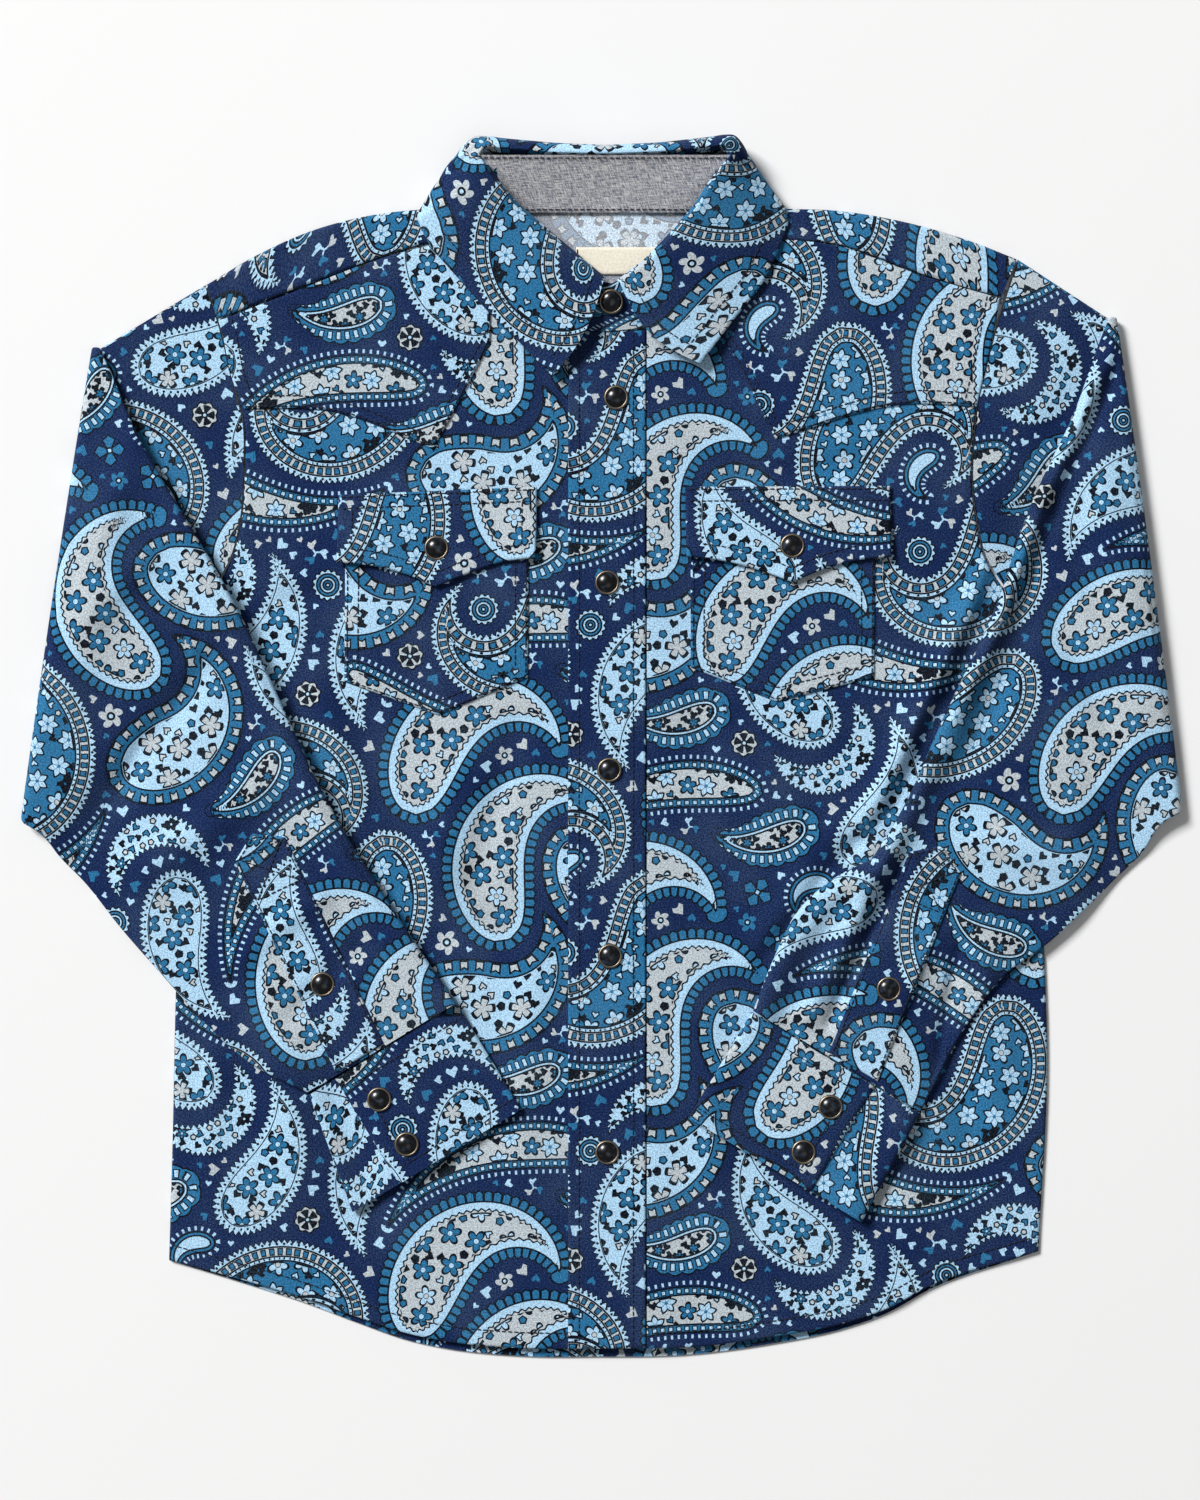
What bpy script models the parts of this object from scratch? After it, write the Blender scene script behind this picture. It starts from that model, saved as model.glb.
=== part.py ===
"""A child's western snap shirt, laid on its back with both sleeves folded over the fronts.

Every cloth piece is a wall of even thickness, worked out from the garment's outline and a few
heights. The frame is +X to the wearer's left, +Y towards the collar and +Z up, with the origin
under the middle of the shirt on the surface that it lies on. The tables are in millimetres.
"""

import math

import bmesh
import bpy
import numpy as np
from mathutils import Vector
from mathutils.bvhtree import BVHTree

MM = 0.001

# Wall, gaps and heights, in millimetres
CLOTH = 1.0  # wall of every cloth piece
GAP = 0.3  # between pieces at a seam, and under a piece that lies on another
LIFT = CLOTH + GAP  # from one face to the face of the piece that lies on it
SIDE_TOP = 2 * CLOTH + GAP  # outer face of the fronts at the side seams
CROWN = 1.9  # what the fronts rise by from the side seams to the middle
HALF_WIDTH = 196.0  # of the body
SLEEVE_HALF = 1.95  # half the thickness of a sleeve along its middle
SLEEVE_EDGE = 1.25  # half the thickness of a sleeve at its folded edges
FOLD_RADIUS = SLEEVE_HALF + 0.3  # of the sleeve's middle where it doubles back
REST = 0.5  # under a sleeve or a cuff, above the fronts
SEAM = 0.5  # from an armhole to the sleeve's edge
ROOT_FULLNESS = 0.3  # of a sleeve at its armhole, as a share of its fullness at the fold

# Edges of the body: x, y
BACK_HEM = (
    (-194.5, -230.5), (-157, -242), (-134, -249.5), (-110, -258.5), (-87, -266.5), (-71, -270),
    (-36, -273.6), (0, -273.9), (36, -273.2), (74, -268.5), (110, -261), (127, -255),
    (149, -243), (186, -230), (196.5, -226.5),
)
HEM_STEP = 4.0  # the front hem lies this much above the back hem in the middle
RIGHT_SIDE = (
    (-194.5, -230.5), (-193, -180), (-191.5, -111), (-189.5, -46), (-187, 21), (-184, 59.5),
)
LEFT_SIDE = ((196.5, -226.5), (200.5, -140), (199, -89), (196.5, -23), (194, 21), (191, 59.5))
RIGHT_ARMHOLE = (
    (-184, 59.5), (-174, 71), (-166.5, 84.5), (-162, 102.5), (-160.5, 125), (-161, 147),
    (-165.5, 164), (-171, 188), (-177.5, 208),
)
LEFT_ARMHOLE = (
    (191, 59.5), (181, 71), (172.5, 85), (168.5, 102.5), (166.5, 122), (167, 135),
    (168.5, 152), (175.5, 183), (186.5, 219.5),
)
NECK = (
    (-59, 230), (-50, 216), (-37, 201.5), (-19, 189), (-1, 184.5), (17, 186), (35, 196),
    (51, 212.5), (63, 230),
)
CENTRE_FRONT = 10.0  # the right front runs to here, under the placket
PLACKET_EDGE = -15.0
PLACKET_SEAM = 20.0
PLACKET_TOP = 183.6
STEP_END = 48.0  # the left front comes down from the placket's height by here

# Shoulders: x, y of the folded shoulder line, and x, y of the seam in front of it
RIGHT_SHOULDER = (
    (-177.5, 208, -172.5, 192.5), (-154.5, 221.5, -148, 202), (-129.5, 232.5, -124, 211),
    (-101.5, 239.5, -100, 220), (-78, 242, -78.5, 226.5), (-57, 243, -59, 230),
)
LEFT_SHOULDER = (
    (58, 243, 63, 230), (86, 242, 85, 228), (102, 241.5, 103, 226.5), (139, 235.5, 143, 213),
    (166, 227.5, 166, 206), (186.5, 219.5, 179.5, 202.5),
)
BACK_NECK = ((-30, 241.3), (2, 241.3), (34, 241.3))
BACK_SEAM = ((-160.8, 150), (-80, 136), (2, 112), (80, 136), (168.3, 150))

# Pieces that lie on the fronts: their corners from bottom left, x, y
RIGHT_YOKE = {
    "bottom": ((-160.5, 152), (-122, 151), (-75.5, 134), (-58.5, 166), (-50, 183.5)),
    "top": ((-172.2, 191.8), (-140, 204), (-100, 219.4), (-59.6, 229.4)),
}
LEFT_YOKE = {
    "bottom": ((54, 185.5), (62.5, 170), (78, 138.5), (136.5, 154), (168.5, 153)),
    "top": ((63.6, 229.4), (103, 225.9), (143, 212.4), (179, 201.9)),
}
RIGHT_POCKET = {
    "bottom": ((-115.5, 29.5), (-73.5, 14.5), (-33, 31.5)),
    "top": ((-115, 108), (-32.5, 111)),
}
LEFT_POCKET = {
    "bottom": ((40, 36), (78.5, 20.5), (122.5, 31.5)),
    "top": ((40, 111), (123, 111)),
}
RIGHT_FLAP = {
    "bottom": ((-119, 83), (-100.5, 81), (-86, 77), (-74.5, 72), (-59.5, 78), (-45, 83), (-29.5, 85)),
    "top": ((-118, 113.5), (-29, 117)),
}
LEFT_FLAP = {
    "bottom": ((38, 85.5), (55, 83.5), (72, 79), (85.5, 74), (98.5, 79.5), (115, 84), (130, 85.5)),
    "top": ((37.5, 117), (129.5, 117.5)),
}
LABEL = {"bottom": ((-11.5, 212.5), (27.5, 212.5)), "top": ((-11.5, 225), (27.5, 225))}

# Fold of the sleeves where they double back: x, y of its upper and of its lower end
RIGHT_FOLD_LINE = (-229.5, 180, -261, -29)
LEFT_FOLD_LINE = (232, 193.5, 261, -24.5)
# Sleeve that lies on top: x, y of its inner edge and of its outer edge, from the fold to the cuff
RIGHT_FOREARM = (
    ("fold", -229.5, 180, -261.8, -34.3),
    ("upper arm", -207, 138, -256.6, -37.3),
    ("armhole", -187.5, 105, -251.5, -41.3),
    ("above elbow", -167, 70, -245, -48),
    ("elbow", -143, 19, -233, -60),
    ("below elbow", -125, -19.5, -217, -80),
    ("placket top", -112.5, -42, -201, -98),
    ("forearm", -98, -65, -183, -118),
    ("above cuff", -82, -89.5, -160, -140),
    ("cuff seam", -65.1, -114.3, -131.8, -154.8),
)
LEFT_FOREARM = (
    ("fold", 232, 193.5, 261.7, -29.8),
    ("upper arm", 213.5, 153, 256.5, -32.6),
    ("armhole", 193.5, 112, 251.3, -37),
    ("above elbow", 175, 60, 243, -47.5),
    ("elbow", 151.5, 10, 231, -59),
    ("below elbow", 135, -27, 217.5, -72.5),
    ("placket top", 121, -50, 199, -89),
    ("pushed-up fold", 104, -58.5, 180, -103),
    ("forearm", 88, -73, 163, -126),
    ("above cuff", 77, -94.5, 151, -148.5),
    ("cuff seam", 67.8, -117.8, 143.2, -163.2),
)
# Broad folds on top of the sleeves: x, y of both ends, half width, height
RIGHT_FOLDS = ((-215, 130, -240, 20, 13, 1.5), (-150, -15, -205, -60, 12, 1.2))
LEFT_FOLDS = ((222, 140, 244, 20, 13, 1.5), (128, -42, 112, -72, 9, 1.6), (172, -40, 215, -55, 12, 1.3))

# Cuffs: x, y of the inner corner at the seam, then lengths in millimetres
CUFF_HEIGHT = 55.0
CUFF_FACE = 64.0  # from the inner fold to the lapped end
CUFF_LAP = 22.0
CUFF_INNER = 3.2  # outer face of the lower layer above the cuff's underside
RIGHT_CUFF = {"corner": (-64.6, -115), "across": (-0.853, -0.522), "width": (78, 89), "puff": 0.0}
LEFT_CUFF = {"corner": (67.3, -118.6), "across": (0.856, -0.517), "width": (88, 91), "puff": 2.4}
CUFF_SNAPS = ((52.0, 18.0), (52.0, 41.5))  # across and along the cuff

# Sleeve plackets: x, y of the corners of the foot, of the tip and of the snap
RIGHT_STRAP = {"foot": ((-119, -145.7), (-97.5, -132.6)), "tip": (-156.5, -38.5), "snap": (-125, -106)}
LEFT_STRAP = {"foot": ((101.9, -136.6), (123.7, -149.6)), "tip": (152.5, -44), "snap": (128.5, -108)}
STRAP_WIDTH = 25.0
STRAP_POINT = 8.0  # the tip stands out by this much
STRAP_REST = 0.5  # under the strip

# Collar stand: x, y, z of its lower edge and of its upper edge, from the lower front end
STAND = (
    ("lower end", 16, 187.5, 4.8, 15, 206.5, 7.0),
    ("centre", -1, 186, 4.8, -2, 209, 8.0),
    ("right front", -18, 190.5, 4.8, -14, 220, 9.5),
    ("right bend", -36, 203, 5.0, -27, 231, 11.5),
    ("right side", -48.8, 217.5, 5.0, -40, 242, 13.5),
    ("right neck", -54, 231, 6.6, -49, 250.5, 16),
    ("right corner", -52.3, 239.2, 5.4, -49, 257.8, 18.2),
    ("back corner", -45, 243.2, 3.2, -43.5, 261.6, 19.2),
    ("back right", -24, 243, 0.7, -22, 262, 19.5),
    ("back", 2, 243, 0.6, 2, 261.7, 19.5),
    ("back left", 28, 243, 0.7, 26, 262.5, 19.5),
    ("back corner", 48.5, 243.2, 3.2, 47, 262.2, 19.2),
    ("left corner", 55.8, 239.2, 5.4, 52, 258.3, 18.2),
    ("left neck", 57.5, 231, 6.6, 52, 250.5, 16),
    ("left side", 49.6, 214, 5.2, 43.5, 241, 13.5),
    ("left bend", 34, 198, 5.6, 32, 229.5, 11.5),
    ("left front", 16, 188, 6.2, 19, 217.5, 10.3),
    ("upper centre", 2, 186.5, 6.3, 6, 208, 9.6),
    ("upper end", -11, 187.5, 6.3, -9, 204, 8.6),
)
BAND_SNAP = (4.3, 199.5)
FACED = (6.7, 11.3)  # rows of the stand that the chambray facing covers
FACING_MARGIN = 0.06  # share of the stand's height left bare above and below it

# Collar fall: x, y, z of the roll, direction out in degrees, length, reach, bow, and the height
# of the outer face at its edge or where it turns down. A reach over the length lies flat.
FALL = (
    ("right point", 1, 209, 10.4, 241.8, 48.5, 99, 3.5, 7.2),
    ("right leaf", -11.5, 219.5, 11.6, 236.3, 45.4, 99, 1, 7.2),
    ("right leaf", -25.5, 231, 13.8, 233, 43.4, 99, 0, 7.2),
    ("right leaf", -39, 242.5, 16.4, 229.9, 40.5, 99, 0, 7.0),
    ("right shoulder", -46, 251, 18.8, 222, 40.5, 99, 0, 7.0),
    ("right shoulder", -49.5, 255.5, 20, 213, 35, 37, 0, 7.6),
    ("right neck", -51.5, 259, 20.8, 207, 33, 31, 0, 9.6),
    ("right neck", -53, 261.5, 21.1, 200, 34, 24, 0, 12.0),
    ("right neck", -54.3, 264, 21.4, 178, 27, 12, 0, 18.0),
    ("right corner", -51.5, 267.3, 21.6, 132, 26, 8, 0, 21.0),
    ("back", -45, 266.5, 21.8, 97, 30, 6, 0, 21.5),
    ("back", -22, 264.5, 21.8, 90, 40, 5.8, 0, 21.5),
    ("back", 2, 264, 21.8, 90, 40, 5.2, 0, 21.5),
    ("back", 26, 264.8, 21.8, 90, 40, 5.6, 0, 21.5),
    ("back", 48.5, 267, 21.8, 84, 30, 6, 0, 21.5),
    ("left corner", 54.5, 267.8, 21.6, 50, 26, 8, 0, 21.0),
    ("left neck", 57.4, 264.5, 21.4, 2, 27, 10.4, 0, 18.0),
    ("left neck", 56.3, 262, 21.1, -12, 34, 22, 0, 12.0),
    ("left neck", 54.7, 259.3, 20.8, -20, 32, 29, 0, 9.6),
    ("left shoulder", 52.5, 256, 20, -25, 33.5, 35.5, 0, 7.6),
    ("left shoulder", 49, 251.5, 18.8, -25, 38.5, 99, 0, 7.0),
    ("left leaf", 42.5, 241.5, 16.4, -28.5, 41.5, 99, 0, 7.0),
    ("left leaf", 32, 229.5, 13.8, -29, 45.5, 99, 0, 7.2),
    ("left leaf", 21, 218, 12.0, -35, 46.2, 99, -2.5, 7.2),
    ("left point", 8, 208, 11.8, -45, 50.9, 99, -6.5, 7.2),
)
FALL_FOOT = 0.1  # underside of the fall where it has turned under
FALL_BEND = 6.0  # how far the fall swings out where it turns down
ROLL_LIP = 0.6  # from the inner edge of the roll to its highest line
ROLL_DROP = 1.3  # inner edge of the roll below its highest line

# Snap caps: radius, z from the seat
SNAP_PROFILE = ((0, 0), (5.2, 0), (5.5, 0.9), (4.7, 1.5), (3.0, 2.7), (0, 3.2))
SNAP_SIDES = 12
PLACKET_SNAPS = ((6.5, 157), (2.5, 74), (3.5, -10), (3.8, -93.5), (2.5, -181.5))
FLAP_SNAPS = (("right", -74, 89.5), ("left", 85.5, 90.5))

# Colour, roughness and metallic value of each finish
FINISHES = {
    "print": ((0.035, 0.07, 0.17), 0.85, 0.0),
    "chambray": ((0.16, 0.18, 0.23), 0.9, 0.0),
    "label": ((0.72, 0.68, 0.58), 0.8, 0.0),
    "pearl": ((0.012, 0.013, 0.016), 0.25, 0.2),
}


def clear_scene():
    for old in list(bpy.data.objects):
        bpy.data.objects.remove(old, do_unlink=True)


def finish(name, kind):
    """A material of the piece's own, in one of the finishes."""
    colour, roughness, metallic = FINISHES[kind]
    made = bpy.data.materials.new(name)
    made.use_nodes = True
    shader = made.node_tree.nodes["Principled BSDF"]
    shader.inputs["Base Color"].default_value = (*colour, 1.0)
    shader.inputs["Roughness"].default_value = roughness
    shader.inputs["Metallic"].default_value = metallic
    made.diffuse_color = (*colour, 1.0)
    return made


def add_object(name, points, faces, kind):
    """A mesh object from points in millimetres, shaded smooth."""
    mesh = bpy.data.meshes.new(name)
    mesh.from_pydata([tuple(float(value) * MM for value in point) for point in points], [], faces)
    mesh.materials.append(finish(name, kind))
    mesh.shade_smooth()
    made = bpy.data.objects.new(name, mesh)
    bpy.context.collection.objects.link(made)
    return made


def grid_faces(rows, columns, wrap=False, skip=()):
    """Quads of a grid that is stored row by row. A wrapped grid closes its last column on its first."""
    faces = []
    for row in range(rows - 1):
        for column in range(columns if wrap else columns - 1):
            if (row, column) in skip:
                continue
            after = (column + 1) % columns
            low, high = row * columns, (row + 1) * columns
            faces.append((low + column, low + after, high + after, high + column))
    return faces


def add_shell(name, outer, inner, kind, wrap=False):
    """A wall between two grids of points, closed round its edges. A wrapped one is a tube."""
    rows, columns = outer.shape[:2]
    count, last = rows * columns, (rows - 1) * columns
    faces = grid_faces(rows, columns, wrap)
    faces += [tuple(count + index for index in reversed(face)) for face in faces]
    for column in range(columns if wrap else columns - 1):
        after = (column + 1) % columns
        faces.append((after, column, count + column, count + after))
        faces.append((last + column, last + after, count + last + after, count + last + column))
    for low in [] if wrap else range(0, last, columns):
        high, end = low + columns, columns - 1
        faces.append((low, high, count + high, count + low))
        faces.append((high + end, low + end, count + low + end, count + high + end))
    points = np.concatenate((outer.reshape(-1, 3), inner.reshape(-1, 3)))
    return add_object(name, points, faces, kind)


def add_sheet(name, grid, kind, skip=()):
    """A sheet of cloth from the points of its outer face, thickened inwards."""
    rows, columns = grid.shape[:2]
    made = add_object(name, grid.reshape(-1, 3), grid_faces(rows, columns, skip=skip), kind)
    wall = made.modifiers.new("Wall", "SOLIDIFY")
    wall.thickness = CLOTH * MM
    wall.offset = -1.0
    wall.use_even_offset = True
    if skip:
        drop_loose_points(made)
    return made


def drop_loose_points(made):
    """Removes the points that no face of the sheet uses."""
    shape = bmesh.new()
    shape.from_mesh(made.data)
    loose = [point for point in shape.verts if not point.link_faces]
    bmesh.ops.delete(shape, geom=loose, context="VERTS")
    shape.to_mesh(made.data)
    shape.free()


def divide(points, count):
    """Splits a line into count stretches and keeps each of its given points."""
    points = np.array(points, float)
    lengths = np.linalg.norm(np.diff(points, axis=0), axis=1)
    shares = lengths / lengths.sum() * count
    parts = np.maximum(1, np.floor(shares)).astype(int)
    while parts.sum() < count:
        parts[np.argmax(shares / parts)] += 1
    while parts.sum() > count:
        spare = np.where(parts > 1, shares / parts, np.inf)
        parts[np.argmin(spare)] -= 1
    line = [points[0]]
    for start, end, part in zip(points[:-1], points[1:], parts):
        line += [start + (end - start) * step / part for step in range(1, part + 1)]
    return np.array(line)


def between(values, places, curve=True):
    """Reads rows of numbers at places from 0 to 1, on a smooth curve or on straight stretches."""
    values = np.array(values, float)
    last = len(values) - 1
    read = []
    for place in places:
        spot = min(max(place, 0.0), 1.0) * last
        index = min(int(spot), last - 1)
        part = spot - index
        start, end = values[index], values[index + 1]
        if not curve:
            read.append(start + (end - start) * part)
            continue
        before = values[index - 1] if index else 2 * start - end
        after = values[index + 2] if index + 2 <= last else 2 * end - start
        read.append(
            0.5 * (2 * start + (end - before) * part
                   + (2 * before - 5 * start + 4 * end - after) * part**2
                   + (3 * start - before - 3 * end + after) * part**3)
        )
    return np.array(read)


def patch(bottom, top, left, right):
    """Points in rows inside four edges, each edge given from left to right or from bottom to top."""
    across, up = len(bottom) - 1, len(left) - 1
    u = (np.arange(across + 1) / across)[None, :, None]
    v = (np.arange(up + 1) / up)[:, None, None]
    ruled_up = (1 - v) * bottom[None] + v * top[None]
    ruled_across = (1 - u) * left[:, None] + u * right[:, None]
    corners = (
        (1 - u) * (1 - v) * bottom[0] + u * (1 - v) * bottom[-1]
        + (1 - u) * v * top[0] + u * v * top[-1]
    )
    return ruled_up + ruled_across - corners


def smoothstep(value):
    value = min(max(value, 0.0), 1.0)
    return value * value * (3 - 2 * value)


def front_top(x, y):
    """Outer face of the fronts: low at the side seams, highest in the middle."""
    return SIDE_TOP + CROWN * (1 - min(abs(x) / HALF_WIDTH, 1.0) ** 2)


def left_front_top(x, y):
    """Outer face of the left front, which comes down from the placket."""
    step = smoothstep((STEP_END - x) / (STEP_END - PLACKET_SEAM))
    return front_top(x, y) + LIFT * step


def raised(flat, height, extra=0.0):
    """Gives a grid of x, y its z from a height function."""
    tops = [[(x, y, height(x, y) + extra) for x, y in row] for row in flat]
    return np.array(tops)


def seated(flat, under, lift):
    """Gives a grid of x, y its z from the object that it lies on."""
    mesh = under.data
    tree = BVHTree.FromPolygons([point.co for point in mesh.vertices], [face.vertices for face in mesh.polygons])
    down = Vector((0, 0, -1))
    grid = []
    for row in flat:
        hits = [tree.ray_cast(Vector((x * MM, y * MM, 1.0)), down)[0] for x, y in row]
        grid.append([(x, y, hit.z / MM + lift) for (x, y), hit in zip(row, hits)])
    return np.array(grid)


def turned_over(grid):
    """The same grid with its outer face on the other side."""
    return grid[:, ::-1]


def face_normals(grid):
    """Unit normals of a grid's outer face."""
    across = np.gradient(grid, axis=1)
    up = np.gradient(grid, axis=0)
    normals = np.cross(across, up)
    return normals / np.linalg.norm(normals, axis=2, keepdims=True)


def front_hem(start, end):
    """The front hem between two x values."""
    hem = [(x, y + HEM_STEP * (1 - (x / HALF_WIDTH) ** 2)) for x, y in BACK_HEM]
    inner = [point for point in hem if start + 3 < point[0] < end - 3]
    xs, ys = zip(*hem)
    return [(start, np.interp(start, xs, ys)), *inner, (end, np.interp(end, xs, ys))]


def neck_between(start, end):
    """The front neck seam between two x values."""
    xs, ys = zip(*NECK)
    inner = [point for point in NECK if start + 2 < point[0] < end - 2]
    return [(start, np.interp(start, xs, ys)), *inner, (end, np.interp(end, xs, ys))]


def make_fronts():
    """The two fronts, from the hem to the seam in front of the shoulder."""
    across, up = 9, 19
    seam = [row[2:] for row in RIGHT_SHOULDER[::2]] + [RIGHT_SHOULDER[-1][2:]]
    outer = [point for point in RIGHT_ARMHOLE[1:] if point[1] < seam[0][1]] + [seam[0]]
    top = seam[:-1] + neck_between(NECK[0][0], CENTRE_FRONT)
    centre_foot = front_hem(RIGHT_SIDE[0][0], CENTRE_FRONT)[-1]
    flat = patch(
        divide(front_hem(RIGHT_SIDE[0][0], CENTRE_FRONT), across),
        divide(top, across),
        divide([*RIGHT_SIDE, *outer], up),
        divide([centre_foot, top[-1]], up),
    )
    add_sheet("front_right", raised(flat, front_top), "print")

    start = PLACKET_SEAM + GAP
    seam = [LEFT_SHOULDER[0][2:]] + [row[2:] for row in LEFT_SHOULDER[1::2]]
    outer = [point for point in LEFT_ARMHOLE[1:] if point[1] < seam[-1][1]] + [seam[-1]]
    top = neck_between(start, NECK[-1][0]) + seam[1:]
    centre_foot = front_hem(start, LEFT_SIDE[0][0])[0]
    flat = patch(
        divide(front_hem(start, LEFT_SIDE[0][0]), across),
        divide(top, across),
        divide([centre_foot, top[0]], up),
        divide([*LEFT_SIDE, *outer], up),
    )
    add_sheet("front_left", raised(flat, left_front_top), "print")


def make_back():
    """The back panel, flat on the surface, with its outer face down."""
    across, up = 14, 12
    seam_y = BACK_SEAM[0][1]
    left = [*RIGHT_SIDE, *[p for p in RIGHT_ARMHOLE[1:] if p[1] < seam_y - GAP]]
    right = [*LEFT_SIDE, *[p for p in LEFT_ARMHOLE[1:] if p[1] < seam_y - GAP]]
    flat = patch(
        divide(BACK_HEM, across),
        divide([left[-1], *[(x, y - 2 * GAP) for x, y in BACK_SEAM[1:-1]], right[-1]], across),
        divide(left, up),
        divide(right, up),
    )
    add_sheet("back", turned_over(raised(flat, lambda x, y: 0.0)), "print")


def make_back_yoke():
    """The yoke: flat on the back, folded over each shoulder and down to the seam in front."""
    under, bend = 4, (45, 90, 135)
    columns = [*RIGHT_SHOULDER, *BACK_NECK, *LEFT_SHOULDER]
    neck_cells = range(len(RIGHT_SHOULDER) - 1, len(RIGHT_SHOULDER) + len(BACK_NECK))
    shoulder, over = [], []
    for column in columns:
        spot = np.array(column[:2], float)
        if len(column) == 2:
            shoulder.append(spot)
            over.append(None)
            continue
        front = np.array(column[2:], float)
        top = front_top(*spot) + LIFT
        inward = (front - spot) / np.linalg.norm(front - spot)
        radius = top / 2
        fold = spot + inward * radius
        shoulder.append(fold)
        points = []
        for angle in map(math.radians, bend):
            side = fold - inward * radius * math.sin(angle)
            points.append((*side, radius * (1 - math.cos(angle))))
        points += [(*fold, top), (*((fold + front) / 2), top), (*(front + inward * -GAP), top)]
        over.append(points)
    left = divide([BACK_SEAM[0], *[p for p in RIGHT_ARMHOLE if 155 < p[1] < 200], shoulder[0]], under)
    right = divide([BACK_SEAM[-1], *[p for p in LEFT_ARMHOLE if 155 < p[1] < 200], shoulder[-1]], under)
    flat = patch(divide(BACK_SEAM, len(columns) - 1), np.array(shoulder), left, right)
    rows = list(raised(flat, lambda x, y: 0.0))
    for step in range(len(bend) + 3):
        row = [points[step] if points else (*shoulder[column], 0.0) for column, points in enumerate(over)]
        rows.append(np.array(row))
    grid = turned_over(np.array(rows))
    last = len(columns) - 2
    skip = {(row, last - cell) for row in range(under, len(rows) - 1) for cell in neck_cells}
    add_sheet("back_yoke", grid, "print", skip)


def make_overlay(name, outline, height, layer, cells, kind="print", edges=None):
    """A piece that lies on a panel, made from the panel's points, moved out."""
    across, up = cells
    bottom, top = divide(outline["bottom"], across), divide(outline["top"], across)
    left, right = edges or ([], [])
    flat = patch(
        bottom,
        top,
        divide([bottom[0], *left, top[0]], up),
        divide([bottom[-1], *right, top[-1]], up),
    )
    add_sheet(name, raised(flat, height, layer * LIFT), kind)


def make_overlays():
    right_arm = [point for point in RIGHT_ARMHOLE if 155 < point[1] < 191]
    left_arm = [point for point in LEFT_ARMHOLE if 155 < point[1] < 200]
    right_neck, left_neck = [NECK[1]], [NECK[-2]]
    make_overlay("front_yoke_right", RIGHT_YOKE, front_top, 1, (8, 5), edges=(right_arm, right_neck))
    make_overlay("front_yoke_left", LEFT_YOKE, front_top, 1, (8, 5), edges=(left_neck, left_arm))
    make_overlay("pocket_right", RIGHT_POCKET, front_top, 1, (6, 6))
    make_overlay("pocket_left", LEFT_POCKET, left_front_top, 1, (6, 6))
    make_overlay("flap_right", RIGHT_FLAP, front_top, 2, (8, 3))
    make_overlay("flap_left", LEFT_FLAP, left_front_top, 2, (8, 3))
    edge, seam = PLACKET_EDGE, PLACKET_SEAM
    strip = {
        "bottom": front_hem(edge, seam),
        "top": ((edge, PLACKET_TOP), (seam, PLACKET_TOP)),
    }
    make_overlay("placket", strip, front_top, 1, (3, 18))
    make_overlay("label", LABEL, lambda x, y: CLOTH, 1, (2, 1), kind="label")


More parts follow.
